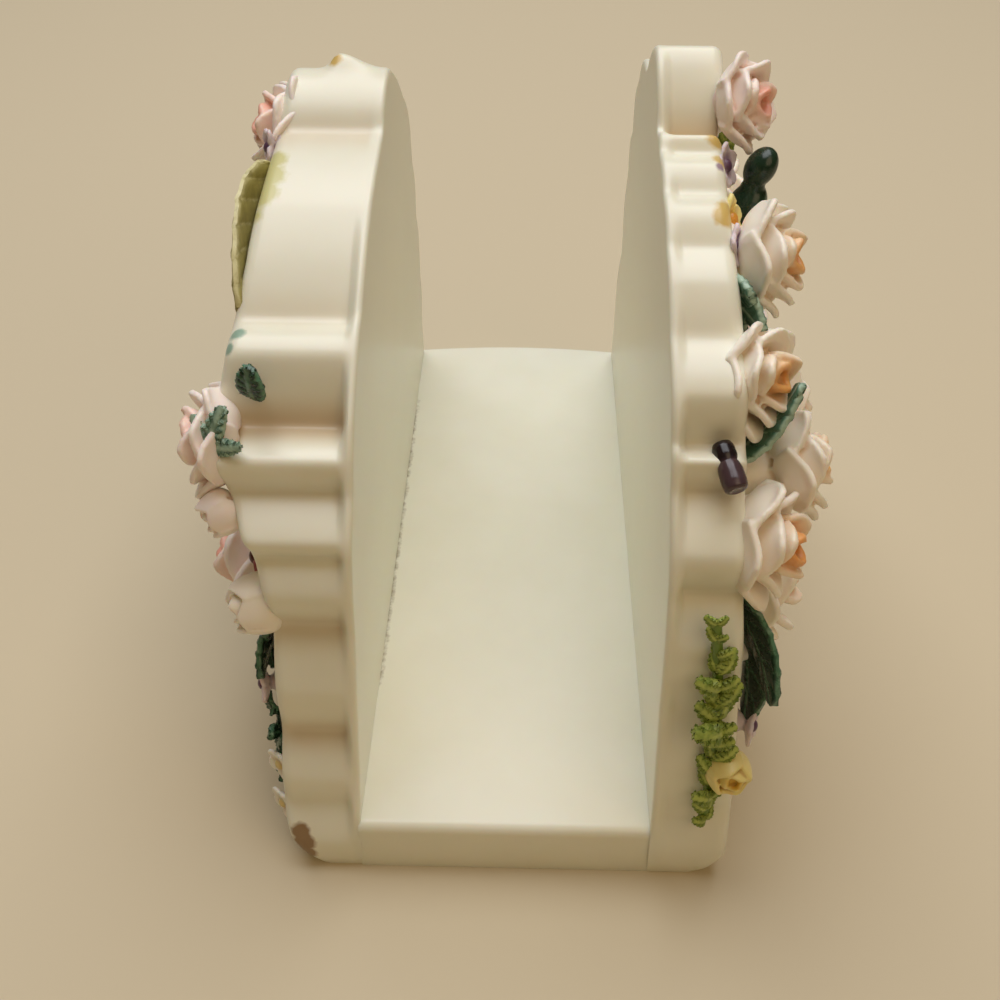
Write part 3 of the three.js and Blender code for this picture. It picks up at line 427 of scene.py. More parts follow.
def scalloped(outline, share):
    table = np.array(outline)
    corners, depth, crests = table[:, :2], table[:, 2], table[:, 3:]
    sides = np.concatenate([corners[:1], corners, corners[-1:]])
    hollows = corners - share * depth[:, None] * outward(sides[:-2], sides[2:])
    line = []
    for i, crest in enumerate(crests[:-1]):
        start, end = hollows[i], hollows[i + 1]
        swell = SCALLOP_SWELL * (crest - (start + end) / 2)
        rise, fall = np.linalg.norm(crest - corners[i]), np.linalg.norm(corners[i + 1] - crest)
        up, down = [LEAST_STEPS + int(way / STEP) for way in (rise, fall)]
        line.append(quadratic(start, (start + crest) / 2 + swell, crest, up))
        line.append(quadratic(crest, (crest + end) / 2 + swell, end, down))
    return even_out(np.concatenate([*line, hollows[-1:]]), SOFTEN_ROUNDS)


print("points on the left outline:", len(scalloped(LEFT_OUTLINE, 1)))

# %% [markdown]
# ## The two panels
# Each panel is a loft through sections from the slot side to the outer face. The first sections
# round over the smooth rim, the next sink into the scallops' pockets, and the last round over to
# the outer face, whose distance from the slot changes with height. Both faces are closed by rings
# that shrink to the middle of the foot. The lap joint with the base slab is hidden, so both pieces
# simply meet here. A knob rises on the left panel's top.

# %% The two panels
FACES = {
    LEFT: [(0, 7.6), (3, 10), (7, 12.2), (11, 13), (30, 13), (52, 13.2), (63.5, 16.3), (71.1, 21.5),
           (75.1, 22), (84.6, 19), (88.6, 19.5), (95.6, 17.3), (103.1, 16.8), (143, 16.8)],
    RIGHT: [(0, 8.4), (1.5, 11), (5, 13), (15, 13.2), (50, 11.8), (70, 10.8), (91, 10.8),
            (101, 9.4), (106, 9.4), (112, 10.8), (154, 10.8)],
}
BLEND_SLOPE, BLEND_START, BLEND_REACH = 0.4, 3, 5
RIM_SHARE = 0.15
RIM_ROUND = 0.8
POCKET_FROM, POCKET_TO = 0.9, 2.6
EDGE_ROUND = 1.8
SLAB_FROM, SLAB_TO = 8, 14
DEEP_HOLLOW = 2.1
SHADE_AND_WASH_SOFT, SHADE_AND_WASH_ROUNDS, RECESS_ROUNDS, FEATHER_ROUNDS = 0.25, 300, 600, 40
CROWN_Y, CROWN_ACROSS, CROWN_RISE = front(87.5), 8.4, 2.6
CROWN_LENGTH, CROWN_REACH, CROWN_SLOPE = 3, 1.7, 4.4
CROWN_FROM, CROWN_TO = 94, 100
FACE_RINGS = np.concatenate([[0.99, 0.97], np.linspace(0.94, 0.04, 20)])


def face_width(side, height):
    levels, widths = zip(*FACES[side])
    reach = np.clip(np.asarray(height, float) * BLEND_SLOPE - BLEND_START, 0, BLEND_REACH)
    near = [np.interp(height + k * reach, levels, widths) for k in (-1, -0.5, 0, 0.5, 1)]
    return np.mean(near, axis=0)


def smoothstep(low, high, value):
    t = np.clip((value - low) / (high - low), 0, 1)
    return t * t * (3 - 2 * t)


def line_normals(line):
    ends = np.concatenate([line[:1], line, line[-1:]])
    return outward(ends[:-2], ends[2:])


def inset(line, distance):
    moved = line - distance * line_normals(line)
    moved[[0, -1], 1] = 0
    moved[:, 1] = np.maximum(moved[:, 1], 0)
    return moved


def daubed(points, spots):
    far = [((points - spot[:3]) / spot[3]) ** 2 for spot in np.array(spots)]
    return np.max([np.exp(-square.sum(-1)) for square in far], axis=0)


def panel_sections():
    """(inset, distance from the slot side, share of the outer face's distance) of each section."""
    turn = np.linspace(0, math.pi / 2, 6)
    rim = [(RIM_ROUND * (1 - math.sin(a)), RIM_ROUND * (1 - math.cos(a)), 0) for a in turn]
    pocket = [(0, depth, 0) for depth in np.linspace(POCKET_FROM, POCKET_TO, 8)]
    body = [(0, POCKET_TO * (1 - t) - EDGE_ROUND * t, t) for t in np.linspace(0.07, 0.93, 14)]
    edge = [(EDGE_ROUND * (1 - math.cos(a)), EDGE_ROUND * (math.sin(a) - 1), 1) for a in turn]
    return rim + pocket + body + edge


def panel_grid(side, outline):
    rows, hollow = [], []
    for gap, depth, outer in panel_sections():
        sunk = 1 if outer else smoothstep(POCKET_FROM, POCKET_TO, depth)
        line = scalloped(outline, RIM_SHARE + (1 - RIM_SHARE) * sunk)
        # The recessed parts of the scalloped edge are marked for that warmer brown, partly a brown
        # wash and partly painted shade.
        wide = line + SHADE_AND_WASH_SOFT * (even_out(line, SHADE_AND_WASH_ROUNDS) - line)
        recess = ((even_out(wide, RECESS_ROUNDS) - wide) * line_normals(wide)).sum(-1)
        hollow.append(sunk * even_out(np.clip(recess / DEEP_HOLLOW, 0, 1), FEATHER_ROUNDS))
        above_slab = 1 if outer else smoothstep(SLAB_FROM, SLAB_TO, line[:, 1:])
        line = inset(even_out(line, int(gap * 25)), gap * above_slab)
        across = depth + outer * face_width(side, line[:, 1])
        rows.append(np.column_stack([across, line]))
    inner = [rows[0] * [0, s, s] for s in FACE_RINGS[::-1]]
    outer = []
    for s in FACE_RINGS:
        ring = rows[-1] * [0, s, s]
        ring[:, 0] = face_width(side, ring[:, 2])
        outer.append(ring)
    flat = np.zeros((len(FACE_RINGS), len(rows[0])))
    return np.stack([*inner, *rows, *outer]), np.concatenate([flat, hollow, flat])


def crowned(along, across, height):
    reach = np.where(across > CROWN_ACROSS, CROWN_REACH, CROWN_SLOPE)
    knob = np.exp(-((along - CROWN_Y) / CROWN_LENGTH) ** 2 - ((across - CROWN_ACROSS) / reach) ** 2)
    return height + CROWN_RISE * smoothstep(CROWN_FROM, CROWN_TO, height) * knob


def panel_cast(name, side, outline):
    grid, shade = panel_grid(side, outline)
    across, along, height = np.moveaxis(grid, -1, 0)
    if side == LEFT:
        height = crowned(along, across, height)
    x = side * (slot_side(along, height) + across)
    points = np.stack([x, along, height], -1).reshape(-1, 3)
    index = np.arange(len(points)).reshape(grid.shape[:2])
    skin = grid_quads(index)[:, [0, 3, 2, 1]]
    sole = np.stack([index[:-1, 0], index[:-1, -1], index[1:, -1], index[1:, 0]], -1)
    marks = {daub: daubed(points, spots) for daub, (_, spots) in DAUBS.items()}
    mesh = welded_mesh(name, points, [*skin, *sole, index[0, ::-1], index[-1]],
                       hollow=shade.ravel(), **marks)
    return finished(name + "_cast", mesh, IVORY_RESIN, "ivory_resin", name, crease=50)


for panel_name, panel_side, panel_outline in (
        ("left_panel", LEFT, LEFT_OUTLINE), ("right_panel", RIGHT, RIGHT_OUTLINE)):
    cast = panel_cast(panel_name, panel_side, panel_outline)
    print(cast.name, len(cast.data.polygons), "faces")

# %% [markdown]
# ## The base slab
# The slab is one path, from the front foot up over a rounded edge, along the floor and down the
# bowed back, drawn again and again across the slot. Its sides run a little into the panels, since
# glue fills the joint. A strip along the left seam is marked for a darker, broken line in that
# corner.

# %% The base slab
SEAM_LAP, FRONT_LAP, BACK_LAP = 0.4, 0.45, 0.6
BASE_ROUND, BACK_ROUND = 1.7, 1.0
BACK_BOW = 1.5
ARC_POINTS, EDGE_GAP = 7, 0.4
FLOOR_COLUMNS = 25
LEFT_CORNER_STRIP, LEFT_CORNER_END = 1.6, 12
LEFT_CORNER_FROM, LEFT_CORNER_TO = -34.0, 42.0
NEARLY = 0.1


def base_path():
    """The path as (y, z, share of the back's bow)."""
    near, far = front(BASE_ROUND) - FRONT_LAP, back(BACK_ROUND) + BACK_LAP
    low, high = FLOOR_HEIGHT - BASE_ROUND, FLOOR_HEIGHT - BACK_ROUND
    arc = np.linspace(0, math.pi / 2, ARC_POINTS)
    rise = [(near - BASE_ROUND * math.cos(a), low + BASE_ROUND * math.sin(a), 0) for a in arc]
    fall = [(far + BACK_ROUND * math.sin(a), high + BACK_ROUND * math.cos(a), 1) for a in arc]
    level = [near + EDGE_GAP, LEFT_CORNER_FROM - LEFT_CORNER_END, LEFT_CORNER_FROM, LEFT_CORNER_TO, LEFT_CORNER_TO + LEFT_CORNER_END]
    floor_line = [(y, FLOOR_HEIGHT, 0) for y in level] + [(far - EDGE_GAP, FLOOR_HEIGHT, 1)]
    foot = [(near - BASE_ROUND, h, 0) for h in (0, low - EDGE_GAP)]
    heel = [(far + BACK_ROUND, h, 1) for h in (high - EDGE_GAP, 0)]
    return foot + rise + floor_line + fall + heel


def base_cast():
    rows, dust = [], []
    for y, z, bow in base_path():
        side = slot_side(y, FLOOR_HEIGHT)
        floor_x = np.linspace(LEFT_CORNER_STRIP - side, side, FLOOR_COLUMNS)
        x = np.concatenate([[-side - SEAM_LAP, -side], floor_x, [side + SEAM_LAP]])
        bulge = bow * BACK_BOW * (1 - np.minimum(1, (x / side) ** 2))
        rows.append(np.column_stack([x, y + bulge, np.full(len(x), z)]))
        on_floor = z > FLOOR_HEIGHT - NEARLY and LEFT_CORNER_FROM - NEARLY < y < LEFT_CORNER_TO + NEARLY
        dust.append((x < NEARLY - side) & on_floor)
    index = np.arange(len(rows) * len(rows[0])).reshape(len(rows), -1)
    quads = grid_quads(np.concatenate([index, index[:1]]))
    mesh = welded_mesh("base", np.concatenate(rows), [*quads, index[:, 0], index[:, -1]],
                       dust=np.concatenate(dust))
    return finished("base_slab_cast", mesh, IVORY_RESIN, "ivory_resin", "base_slab", crease=35)


slab = base_cast()
print(slab.name, len(slab.data.polygons), "faces")

# %% [markdown]
# ## Seats on the outer faces
# Every flower is glued to a panel's outer face. Its axis leaves the face square and is then tipped
# to the front and to the top. A leaf lies along the face instead: it has a heading, counted from
# straight up towards the front, and it lifts off the face by an angle.

# %% Seats on the outer faces
FRONT, UP = Vector((0, -1, 0)), Vector((0, 0, 1))
LEAF_STAND = 0.5


def face_point(side, along, height):
    across = slot_side(along, height) + float(face_width(side, height))
    return Vector((side * across, along, height))


def face_normal(side):
    return Vector((side, SLOT_SPLAY, PANEL_LEAN)).normalized()


def seat(across, along, top, origin):
    return Matrix.Translation(origin * MM) @ Matrix((across, along, top)).transposed().to_4x4()


def flower_seat(side, y, z, stand, to_front=0, to_top=0, set_in=0):
    tip_front, tip_top = math.tan(math.radians(to_front)), math.tan(math.radians(to_top))
    axis = (face_normal(side) + FRONT * tip_front + UP * tip_top).normalized()
    across = UP.cross(axis).normalized()
    origin = face_point(side, y, z) - face_normal(side) * set_in + axis * stand
    return seat(across, axis.cross(across), axis, origin)


def leaf_seat(side, y, z, heading, lift, roll=0, set_in=0):
    normal = face_normal(side)
    turn, rise = math.radians(heading), math.radians(lift)
    flat = UP * math.cos(turn) + FRONT * math.sin(turn)
    flat = (flat - normal * flat.dot(normal)).normalized()
    along = flat * math.cos(rise) + normal * math.sin(rise)
    across = along.cross(normal).normalized()
    origin = face_point(side, y, z) + normal * (LEAF_STAND - set_in)
    place = seat(across, along, across.cross(along), origin)
    return place @ Matrix.Rotation(math.radians(roll), 4, "Y")


print("a seat on the right face:", [round(c, 4) for c in flower_seat(RIGHT, 0, 60, 0).translation])

# %% [markdown]
# ## Closed sheets and turned forms
# A petal or a leaf is a sheet with two skins: a grid of points for its middle is pushed to both
# sides by half its thickness, and strips close the rim. Stems, hearts and pods are turned on a
# lathe from a list of radii and heights. Both come out closed, so they can be joined and remeshed.

# %% Closed sheets and turned forms
TINY = 1e-9


def unit(vectors):
    return vectors / np.maximum(np.linalg.norm(vectors, axis=-1, keepdims=True), TINY)


def bezier(knots, t):
    a, b, c, d = np.array(knots, float)
    t = t[..., None]
    s = 1 - t
    return s ** 3 * a + 3 * s * s * t * b + 3 * s * t * t * c + t ** 3 * d


def closed_sheet(middle, thickness):
    rows, columns = middle.shape[:2]
    normal = unit(np.cross(np.gradient(middle, axis=1), np.gradient(middle, axis=0)))
    push = normal * thickness[..., None] / 2
    points = np.concatenate([(middle + push).reshape(-1, 3), (middle - push).reshape(-1, 3)])
    index = np.arange(rows * columns).reshape(rows, columns)
    quads = grid_quads(index)
    rim = np.concatenate([index[0, :-1], index[:-1, -1], index[-1, :0:-1], index[:0:-1, 0]])
    wall = np.stack([rim, np.roll(rim, -1)], -1)
    half = rows * columns
    walls = np.column_stack([wall[:, 1], wall[:, 0], wall[:, 0] + half, wall[:, 1] + half])
    return points, np.concatenate([quads, quads[:, ::-1] + half, walls]).tolist()


def turned(profile, sides=24):
    angle = np.linspace(0, 2 * math.pi, sides, endpoint=False)
    points = [(r * math.cos(a), r * math.sin(a), h) for r, h in profile for a in angle]
    index = np.arange(len(points)).reshape(-1, sides)
    walls = grid_quads(np.column_stack([index, index[:, 0]]))
    return np.array(points), [index[0], index[-1], *walls]


def joined(shells):
    faces, start = [], 0
    for points, loops in shells:
        faces += [tuple(i + start for i in loop) for loop in loops]
        start += len(points)
    return np.concatenate([points for points, _ in shells]), faces


print("faces of a turned rod:", len(turned([(1, 0), (1, 5)])[1]))

# %% [markdown]
# ## Petals
# A petal is a curve in the plane of the flower's axis, from its root to its lip, swept to both
# sides round the axis. The lip is drawn to a soft point and rolls back at its corners, and a seeded
# ripple makes every petal a little different, as petals pressed by hand are.

# %% Petals
Ring = namedtuple("Ring", "petals turn spread curl tip profile")
ROSE_RINGS = (
    Ring(5, 0.3, 0.74, 0.14, 0.4, ((0.3, 0.0), (0.98, -0.04), (0.8, 0.54), (1.24, 0.58))),
    Ring(4, 0.9, 0.94, 0.11, 0.34, ((0.25, 0.1), (0.74, 0.1), (0.56, 0.7), (0.95, 0.86))),
    Ring(3, 0.2, 0.98, 0.06, 0.28, ((0.15, 0.25), (0.46, 0.24), (0.34, 0.8), (0.6, 1.04))),
    Ring(2, 1.3, 1.6, 0.04, 0.24, ((0.08, 0.4), (0.26, 0.4), (0.2, 0.9), (0.3, 1.1))),
)
BUD_RINGS = (
    Ring(4, 0.4, 0.95, 0.06, 0.2, ((0.4, 0.15), (1.35, 0.2), (1.1, 1.2), (0.82, 1.95))),
    Ring(3, 1.1, 1.1, 0.02, 0.15, ((0.3, 0.3), (0.9, 0.4), (0.66, 1.4), (0.4, 2.0))),
)
BLOSSOM_RINGS = (
    Ring(5, 0.0, 0.6, -0.06, 0.3, ((0.12, 0.1), (0.4, 0.06), (0.75, 0.26), (1.04, 0.34))),
)
PETAL_ACROSS, PETAL_ALONG = 17, 22
LIP_POINT = 1.35
RIPPLE, RIPPLE_WAVES, PETAL_BEND = 0.035, (2.2, 3.6), 0.05
ROOT_SHARE, WIDENING = 0.3, 1.5
ROOT_THICK, LIP_THINNING = 1.15, 0.45
TURN_UNEVEN, SIZE_UNEVEN = 0.06, (0.94, 1.05)


def petal(ring, radius, turn, thickness, chance):
    u, v = np.meshgrid(np.linspace(-1, 1, PETAL_ACROSS), np.linspace(0, 1, PETAL_ALONG))
    t = v * (1 - ring.tip * np.abs(u) ** LIP_POINT)
    spot = bezier(ring.profile, t) * radius
    way = unit(np.gradient(spot, axis=0))
    phase, waves = chance.uniform(0, 2 * math.pi), chance.uniform(*RIPPLE_WAVES)
    bend = chance.normal(0, PETAL_BEND)
    ripple = RIPPLE * v ** 2 * np.sin(waves * u * math.pi / 2 + phase) + bend * v * v
    lift = radius * (ripple - ring.curl * u ** 2 * v)
    opening = np.sin(math.pi / 2 * np.minimum(1, WIDENING * v))
    width = ring.spread * (ROOT_SHARE + (1 - ROOT_SHARE) * opening)
    angle = turn + u * width
    out, height = spot[..., 0] - way[..., 1] * lift, spot[..., 1] + way[..., 0] * lift
    middle = np.stack([out * np.cos(angle), out * np.sin(angle), height], -1)
    return closed_sheet(middle, thickness * (ROOT_THICK - LIP_THINNING * v ** 2))


def petal_rings(rings, radius, thickness, chance):
    shells = []
    for ring in rings:
        for i in range(ring.petals):
            turn = ring.turn + i * 2 * math.pi / ring.petals + chance.normal(0, TURN_UNEVEN)
            size = radius * chance.uniform(*SIZE_UNEVEN)
            shells.append(petal(ring, size, turn, thickness, chance))
    return shells


print("petals of a rose:", sum(ring.petals for ring in ROSE_RINGS))

# %% [markdown]
# ## One soft casting from many sheets
# In the mould the petals run together at their roots. A voxel remesh joins the closed sheets in
# the same way, and a few rounds of smoothing round it off. Two marks are then stored for the paint:
# one where the skin is concave, for the darker fold tone that is partly a wash and partly painted
# shade, and `blush` near the flower's heart.

# %% One soft casting from many sheets
SMOOTH_PULL, BLUR_PULL, BLUR_ROUNDS = 0.6, 0.5, 3
FOLD_BEND = 0.07
BLUSH_FROM, BLUSH_FULL = 0.05, 0.4
FLARE, FOOT_SUNK, NECK_DROP = 0.8, 0.6, 0.05
WAIST_FLARE, WAIST_NECK = 0.55, 0.45
ROSE_CORE = ((0.6, 0.2), (0.3, 0.45), (0.12, 0.7), (0.05, 0.75))
BUD_CORE = ((0.8, 0.3), (0.8, 0.9), (0.4, 1.5), (0.1, 1.6))
BLOSSOM_CORE = ((0.3, 0.2), (0.26, 0.42), (0.1, 0.5))
POD_SLIM = 0.7
POD_PROFILE = ((0.3, -0.5), (0.85, -0.45), (1.06, -0.1), (1.08, 0.5), (0.98, 0.85), (0.9, 0.92),
               (1.02, 1.05), (1.16, 1.5), (1.18, 2.3), (1.08, 2.75), (0.8, 2.9), (0.3, 2.85))


def read_array(items, field, width, kind=float):
    values = np.empty(width * len(items), kind)
    items.foreach_get(field, values)
    return values.reshape(-1, width)


def neighbour_mean(values, edges, count):
    total = np.zeros_like(values)
    for a, b in ((0, 1), (1, 0)):
        for k in range(values.shape[1]):
            total[:, k] += np.bincount(edges[:, a], values[edges[:, b], k], len(values))
    return total / count[:, None]


def soft_cast(name, shells, voxel, rounds=3):
    helper = add_object(name, welded_mesh(name, *joined(shells)))
    skin = helper.modifiers.new("run together", "REMESH")
    skin.mode = "VOXEL"
    skin.voxel_size = voxel * MM
    mesh = evaluated_mesh(helper)
    points, edges = read_array(mesh.vertices, "co", 3), read_array(mesh.edges, "vertices", 2, int)
    count = np.maximum(np.bincount(edges.ravel(), minlength=len(points)), 1)
    for _ in range(rounds):
        points += SMOOTH_PULL * (neighbour_mean(points, edges, count) - points)
    mesh.vertices.foreach_set("co", points.ravel())
    mesh.update()
    normals = read_array(mesh.vertex_normals, "vector", 3)
    bowl = ((neighbour_mean(points, edges, count) - points) * normals).sum(-1, keepdims=True)
    for _ in range(BLUR_ROUNDS):
        bowl = (1 - BLUR_PULL) * bowl + BLUR_PULL * neighbour_mean(bowl, edges, count)
    # Concave skin is marked for the darker fold tone, partly a wash and partly painted shade.
    mark(mesh, "hollow", np.clip(bowl[:, 0] / (FOLD_BEND * voxel * MM), 0, 1))
    return mesh, points / MM


def from_axis(points, radius):
    return np.hypot(points[:, 0], points[:, 1]) / radius


def blush(mesh, points, radius, near, far):
    rise = smoothstep(BLUSH_FROM, BLUSH_FULL, points[:, 2] / radius)
    mark(mesh, "blush", (1 - smoothstep(near, far, from_axis(points, radius))) * rise)


def flared_foot(radius, stand, neck, core):
    """A turned foot that spreads to its seat, up to a neck, and then the core's points in radii."""
    waist = WAIST_FLARE * FLARE + WAIST_NECK * neck
    rows = [(FLARE, -stand - FOOT_SUNK), (waist, -WAIST_FLARE * stand - FOOT_SUNK / 2),
            (neck, -NECK_DROP * radius)]
    return turned([(r * radius, h) for r, h in rows] + [(r * radius, h * radius) for r, h in core])


def rose(chance, radius, stand):
    foot = flared_foot(radius, stand, neck=0.52, core=ROSE_CORE)
    petals = petal_rings(ROSE_RINGS, radius, 0.12 * radius + 0.5, chance)
    mesh, points = soft_cast("rose", [foot, *petals], voxel=0.2 + 0.015 * radius)
    blush(mesh, points, radius, near=0.1, far=0.85)
    return mesh


def bud(chance, radius, stand):
    foot = flared_foot(radius, stand, neck=0.6, core=BUD_CORE)
    petals = petal_rings(BUD_RINGS, radius, 0.95, chance)
    mesh, points = soft_cast("bud", [foot, *petals], voxel=0.22)
    rise = 0.8 * smoothstep(0.9, 1.8, points[:, 2] / radius)
    mark(mesh, "blush", rise * (1 - smoothstep(0.1, 0.7, from_axis(points, radius))))
    return mesh


def pod(_chance, radius, _stand):
    form = turned([(POD_SLIM * r * radius, h * radius) for r, h in POD_PROFILE])
    mesh, points = soft_cast("pod", [form], voxel=0.16, rounds=2)
    mark(mesh, "blush", 1 - smoothstep(0.6, 1.1, points[:, 2] / radius))
    return mesh


def blossom(chance, radius, stand):
    foot = flared_foot(radius, stand, neck=0.26, core=BLOSSOM_CORE)
    petals = petal_rings(BLOSSOM_RINGS, radius, 0.9, chance)
    mesh, points = soft_cast("blossom", [foot, *petals], voxel=0.2)
    blush(mesh, points, radius, near=0.2, far=0.8)
    return mesh


print("flower makers:", *[maker.__name__ for maker in (rose, bud, pod, blossom)])

# %% [markdown]
# ## Leaves
# A leaf is one closed sheet: pointed, folded up along its midrib, arched over its length and
# toothed at its edge. Its midrib and side veins stand up a little, and the mark `vein` says where
# they are, so that the dry brush of pale green finds them.

# %% Leaves
BLADE_ACROSS, BLADE_ALONG = 25, 41
BLADE_LEAN, BLADE_FULL, STALK_WIDTH = 0.8, 0.62, 0.03
TOOTH_DEPTH, TEETH_PER_VEIN = 0.07, 1.6
VEIN_PAIRS, VEIN_SLANT, VEIN_WIDTH, VEIN_SHARE = 6, 1.1, 0.12, 0.8
MIDRIB_WIDTH, VEIN_RELIEF = 0.45, 0.32
BLADE_WAVE, WAVE_TURNS = 0.02, 2.2
FOLD_ROOT, FOLD_EASE = 1.25, 0.5
BLADE_THICK, EDGE_THINNING = 1.2, 0.5
STALK, STALK_AT = [(0.9, -1.2), (0.8, 0), (0.7, 0.5), (0.3, 0.7)], [0, 1.1, 0]
SIDE_LEAF_SHARE, LEAF_UNEVEN, FAN_UNEVEN = 0.78, (0.94, 1.04), 0.05
CURL_LOBES = ((-0.05, 0.36, 2.4, 1.25), (0, 0.56, 1.6, 0.8), (0.1, 0.82, 1, 1.05))
LOBE_SHARES = 0.3, 0.25, 0.24


def leaf_blade(length, width, fold, arch, thickness=BLADE_THICK):
    u, v = np.meshgrid(np.linspace(-1, 1, BLADE_ACROSS), np.linspace(0.01, 0.99, BLADE_ALONG))
    reach = np.abs(u)
    teeth = 1 + TOOTH_DEPTH * np.abs(((v * TEETH_PER_VEIN * VEIN_PAIRS) % 1) - 0.5)
    taper = np.sin(math.pi * v ** BLADE_LEAN) ** BLADE_FULL + STALK_WIDTH
    half = width / 2 * taper * teeth
    out = reach * half
    midrib = np.exp(-(out / MIDRIB_WIDTH) ** 2)
    slope = (v * VEIN_PAIRS - VEIN_SLANT * reach) % 1
    side_vein = np.exp(-((slope - 0.5) / VEIN_WIDTH) ** 2) * smoothstep(0.02, 0.2, reach)
    vein = np.maximum(midrib, VEIN_SHARE * side_vein)
    swell = VEIN_RELIEF * vein + BLADE_WAVE * width * np.sin(WAVE_TURNS * math.pi * v) * reach
    rise = arch * 4 * v * (1 - v) * length
    height = rise + out * fold * (FOLD_ROOT - FOLD_EASE * reach) + swell
    middle = np.stack([u * half, v * length, height], -1)
    edge = smoothstep(0.8, 1, reach)
    points, faces = closed_sheet(middle, thickness * (1 - EDGE_THINNING * edge))
    return points, faces, np.tile(np.maximum(vein, edge).ravel(), 2)


def turned_about(points, angle):
    c, s = math.cos(angle), math.sin(angle)
    return points @ np.array([[c, s, 0], [-s, c, 0], [0, 0, 1]])


def curled_leaf(_chance, length, width):
    """A leaf rolled up on itself: three plump lobes run together."""
    arc = np.linspace(0.15, math.pi - 0.15, 9)
    lobe, faces = turned([(math.sin(a), -math.cos(a)) for a in arc], 20)
    shape = lobe * [share * size for share, size in zip(LOBE_SHARES, (width, length, width))]
    shells = [(shape * size + [x * width, y * length, z], faces) for x, y, z, size in CURL_LOBES]
    mesh, points = soft_cast("curled leaf", shells, voxel=0.2, rounds=4)
    # The lobes' outer crowns get the pale brush colour, a painted highlight.
    mark(mesh, "vein", 0.5 * smoothstep(2, 4, points[:, 2]))
    return mesh


def leaf(chance, length, width, fan=0, fold=0.28, arch=0.08):
    stalk, faces = turned(STALK, 12)
    shells, veins = [(stalk + STALK_AT, faces)], [np.zeros(len(stalk))]
    for turn in ([-fan, 0, fan] if fan else [0]):
        share = (SIDE_LEAF_SHARE if turn else 1) * chance.uniform(*LEAF_UNEVEN)
        points, faces, vein = leaf_blade(length * share, width * share, fold, arch)
        shells.append((turned_about(points, turn + chance.normal(0, FAN_UNEVEN)), faces))
        veins.append(vein)
    return plain_mesh("leaf", *joined(shells), vein=np.concatenate(veins))


print("leaf points:", len(leaf_blade(10, 6, 0.2, 0.1)[0]))

# %% [markdown]
# ## Fronds along a stem
# A fern is one leaflet set again and again along a bent stem, on both hands and largest at the
# middle. Geometry Nodes does this well: the stem is a line, points are spaced along it, and each
# point carries a leaflet turned from the stem's own direction.

# %% Fronds along a stem
FROND_INPUTS = {"Stem": "Geometry", "Leaflet": "Object", "Pairs": "Int", "Spread": "Float",
                "Tip share": "Float", "Stem radius": "Float", "Uneven": "Float", "Seed": "Int"}
FROND_HABIT = {"Spread": 0.7, "Tip share": 0.5, "Uneven": 0.55, "Stem radius": 0.8 * MM}
GROWTH_UNEVEN = 0.6
STEM_SIDES, STEM_POINTS = 10, 24
STEM_ARCH, STEM_RISE = 0.8, 0.2
LEAFLET_SHARE, LEAFLET_FOLD, LEAFLET_ARCH, LEAFLET_THICK = 0.55, 0.3, 0.2, 1.4


def frond_tree():
    tree = bpy.data.node_groups.new("leaflets along a stem", "GeometryNodeTree")

    def add(kind, inputs=None, output=0, **settings):
        return add_node(tree, kind, inputs, **settings).outputs[output]

    for name, kind in FROND_INPUTS.items():
        tree.interface.new_socket(name, in_out="INPUT", socket_type="NodeSocket" + kind)
    tree.interface.new_socket("Frond", in_out="OUTPUT", socket_type="NodeSocketGeometry")
    given = add_node(tree, "NodeGroupInput").outputs
    line = add("GeometryNodeMeshToCurve", {0: given["Stem"]})
    spots = add("GeometryNodeResampleCurve", {"Curve": line, "Count": given["Pairs"]})
    aligned = add("FunctionNodeAlignRotationToVector", {"Vector": add("GeometryNodeInputTangent")},
                  axis="Y", pivot_axis="Z")
    factor = add("GeometryNodeSplineParameter", output="Factor")
    bow = reckoned(tree, "SINE", reckoned(tree, "MULTIPLY", factor, math.pi))
    size = ranged(tree, bow, (0.0, 1.0, given["Tip share"], 1.0))
    shape = add("GeometryNodeObjectInfo", {"Object": given["Leaflet"]}, output="Geometry")
    index = add("GeometryNodeInputIndex")
    less = reckoned(tree, "MULTIPLY", given["Uneven"], -1.0)
    gather = add_node(tree, "GeometryNodeJoinGeometry")
    for hand in (-1.0, 1.0):
        number = reckoned(tree, "MULTIPLY_ADD", index, 2.0, hand)
        sway = add("FunctionNodeRandomValue", {
            "Min": less, "Max": given["Uneven"], "Seed": given["Seed"], "ID": number},
            output=1, data_type="FLOAT")
        angle = reckoned(tree, "MULTIPLY", given["Spread"], hand)
        euler = add("ShaderNodeCombineXYZ", {
            "X": reckoned(tree, "MULTIPLY", sway, hand), "Y": sway,
            "Z": reckoned(tree, "ADD", angle, sway)})
        turn = add("FunctionNodeRotateRotation", {"Rotation": aligned, "Rotate By": euler},
                   rotation_space="LOCAL")
        growth = reckoned(tree, "MULTIPLY_ADD", sway, GROWTH_UNEVEN, 1.0)
        leaflets = add("GeometryNodeInstanceOnPoints", {
            "Points": spots, "Instance": shape, "Rotation": turn,
            "Scale": reckoned(tree, "MULTIPLY", size, growth)})
        tree.links.new(leaflets, gather.inputs[0])
    section = add("GeometryNodeCurvePrimitiveCircle", {
        "Resolution": STEM_SIDES, "Radius": given["Stem radius"]})
    stem = add("GeometryNodeCurveToMesh", {
        "Curve": line, "Profile Curve": section, "Fill Caps": True})
    tree.links.new(stem, gather.inputs[0])
    solid = add("GeometryNodeRealizeInstances", {0: gather.outputs[0]})
    add_node(tree, "NodeGroupOutput", {0: solid})
    return tree


FROND_TREE = frond_tree()


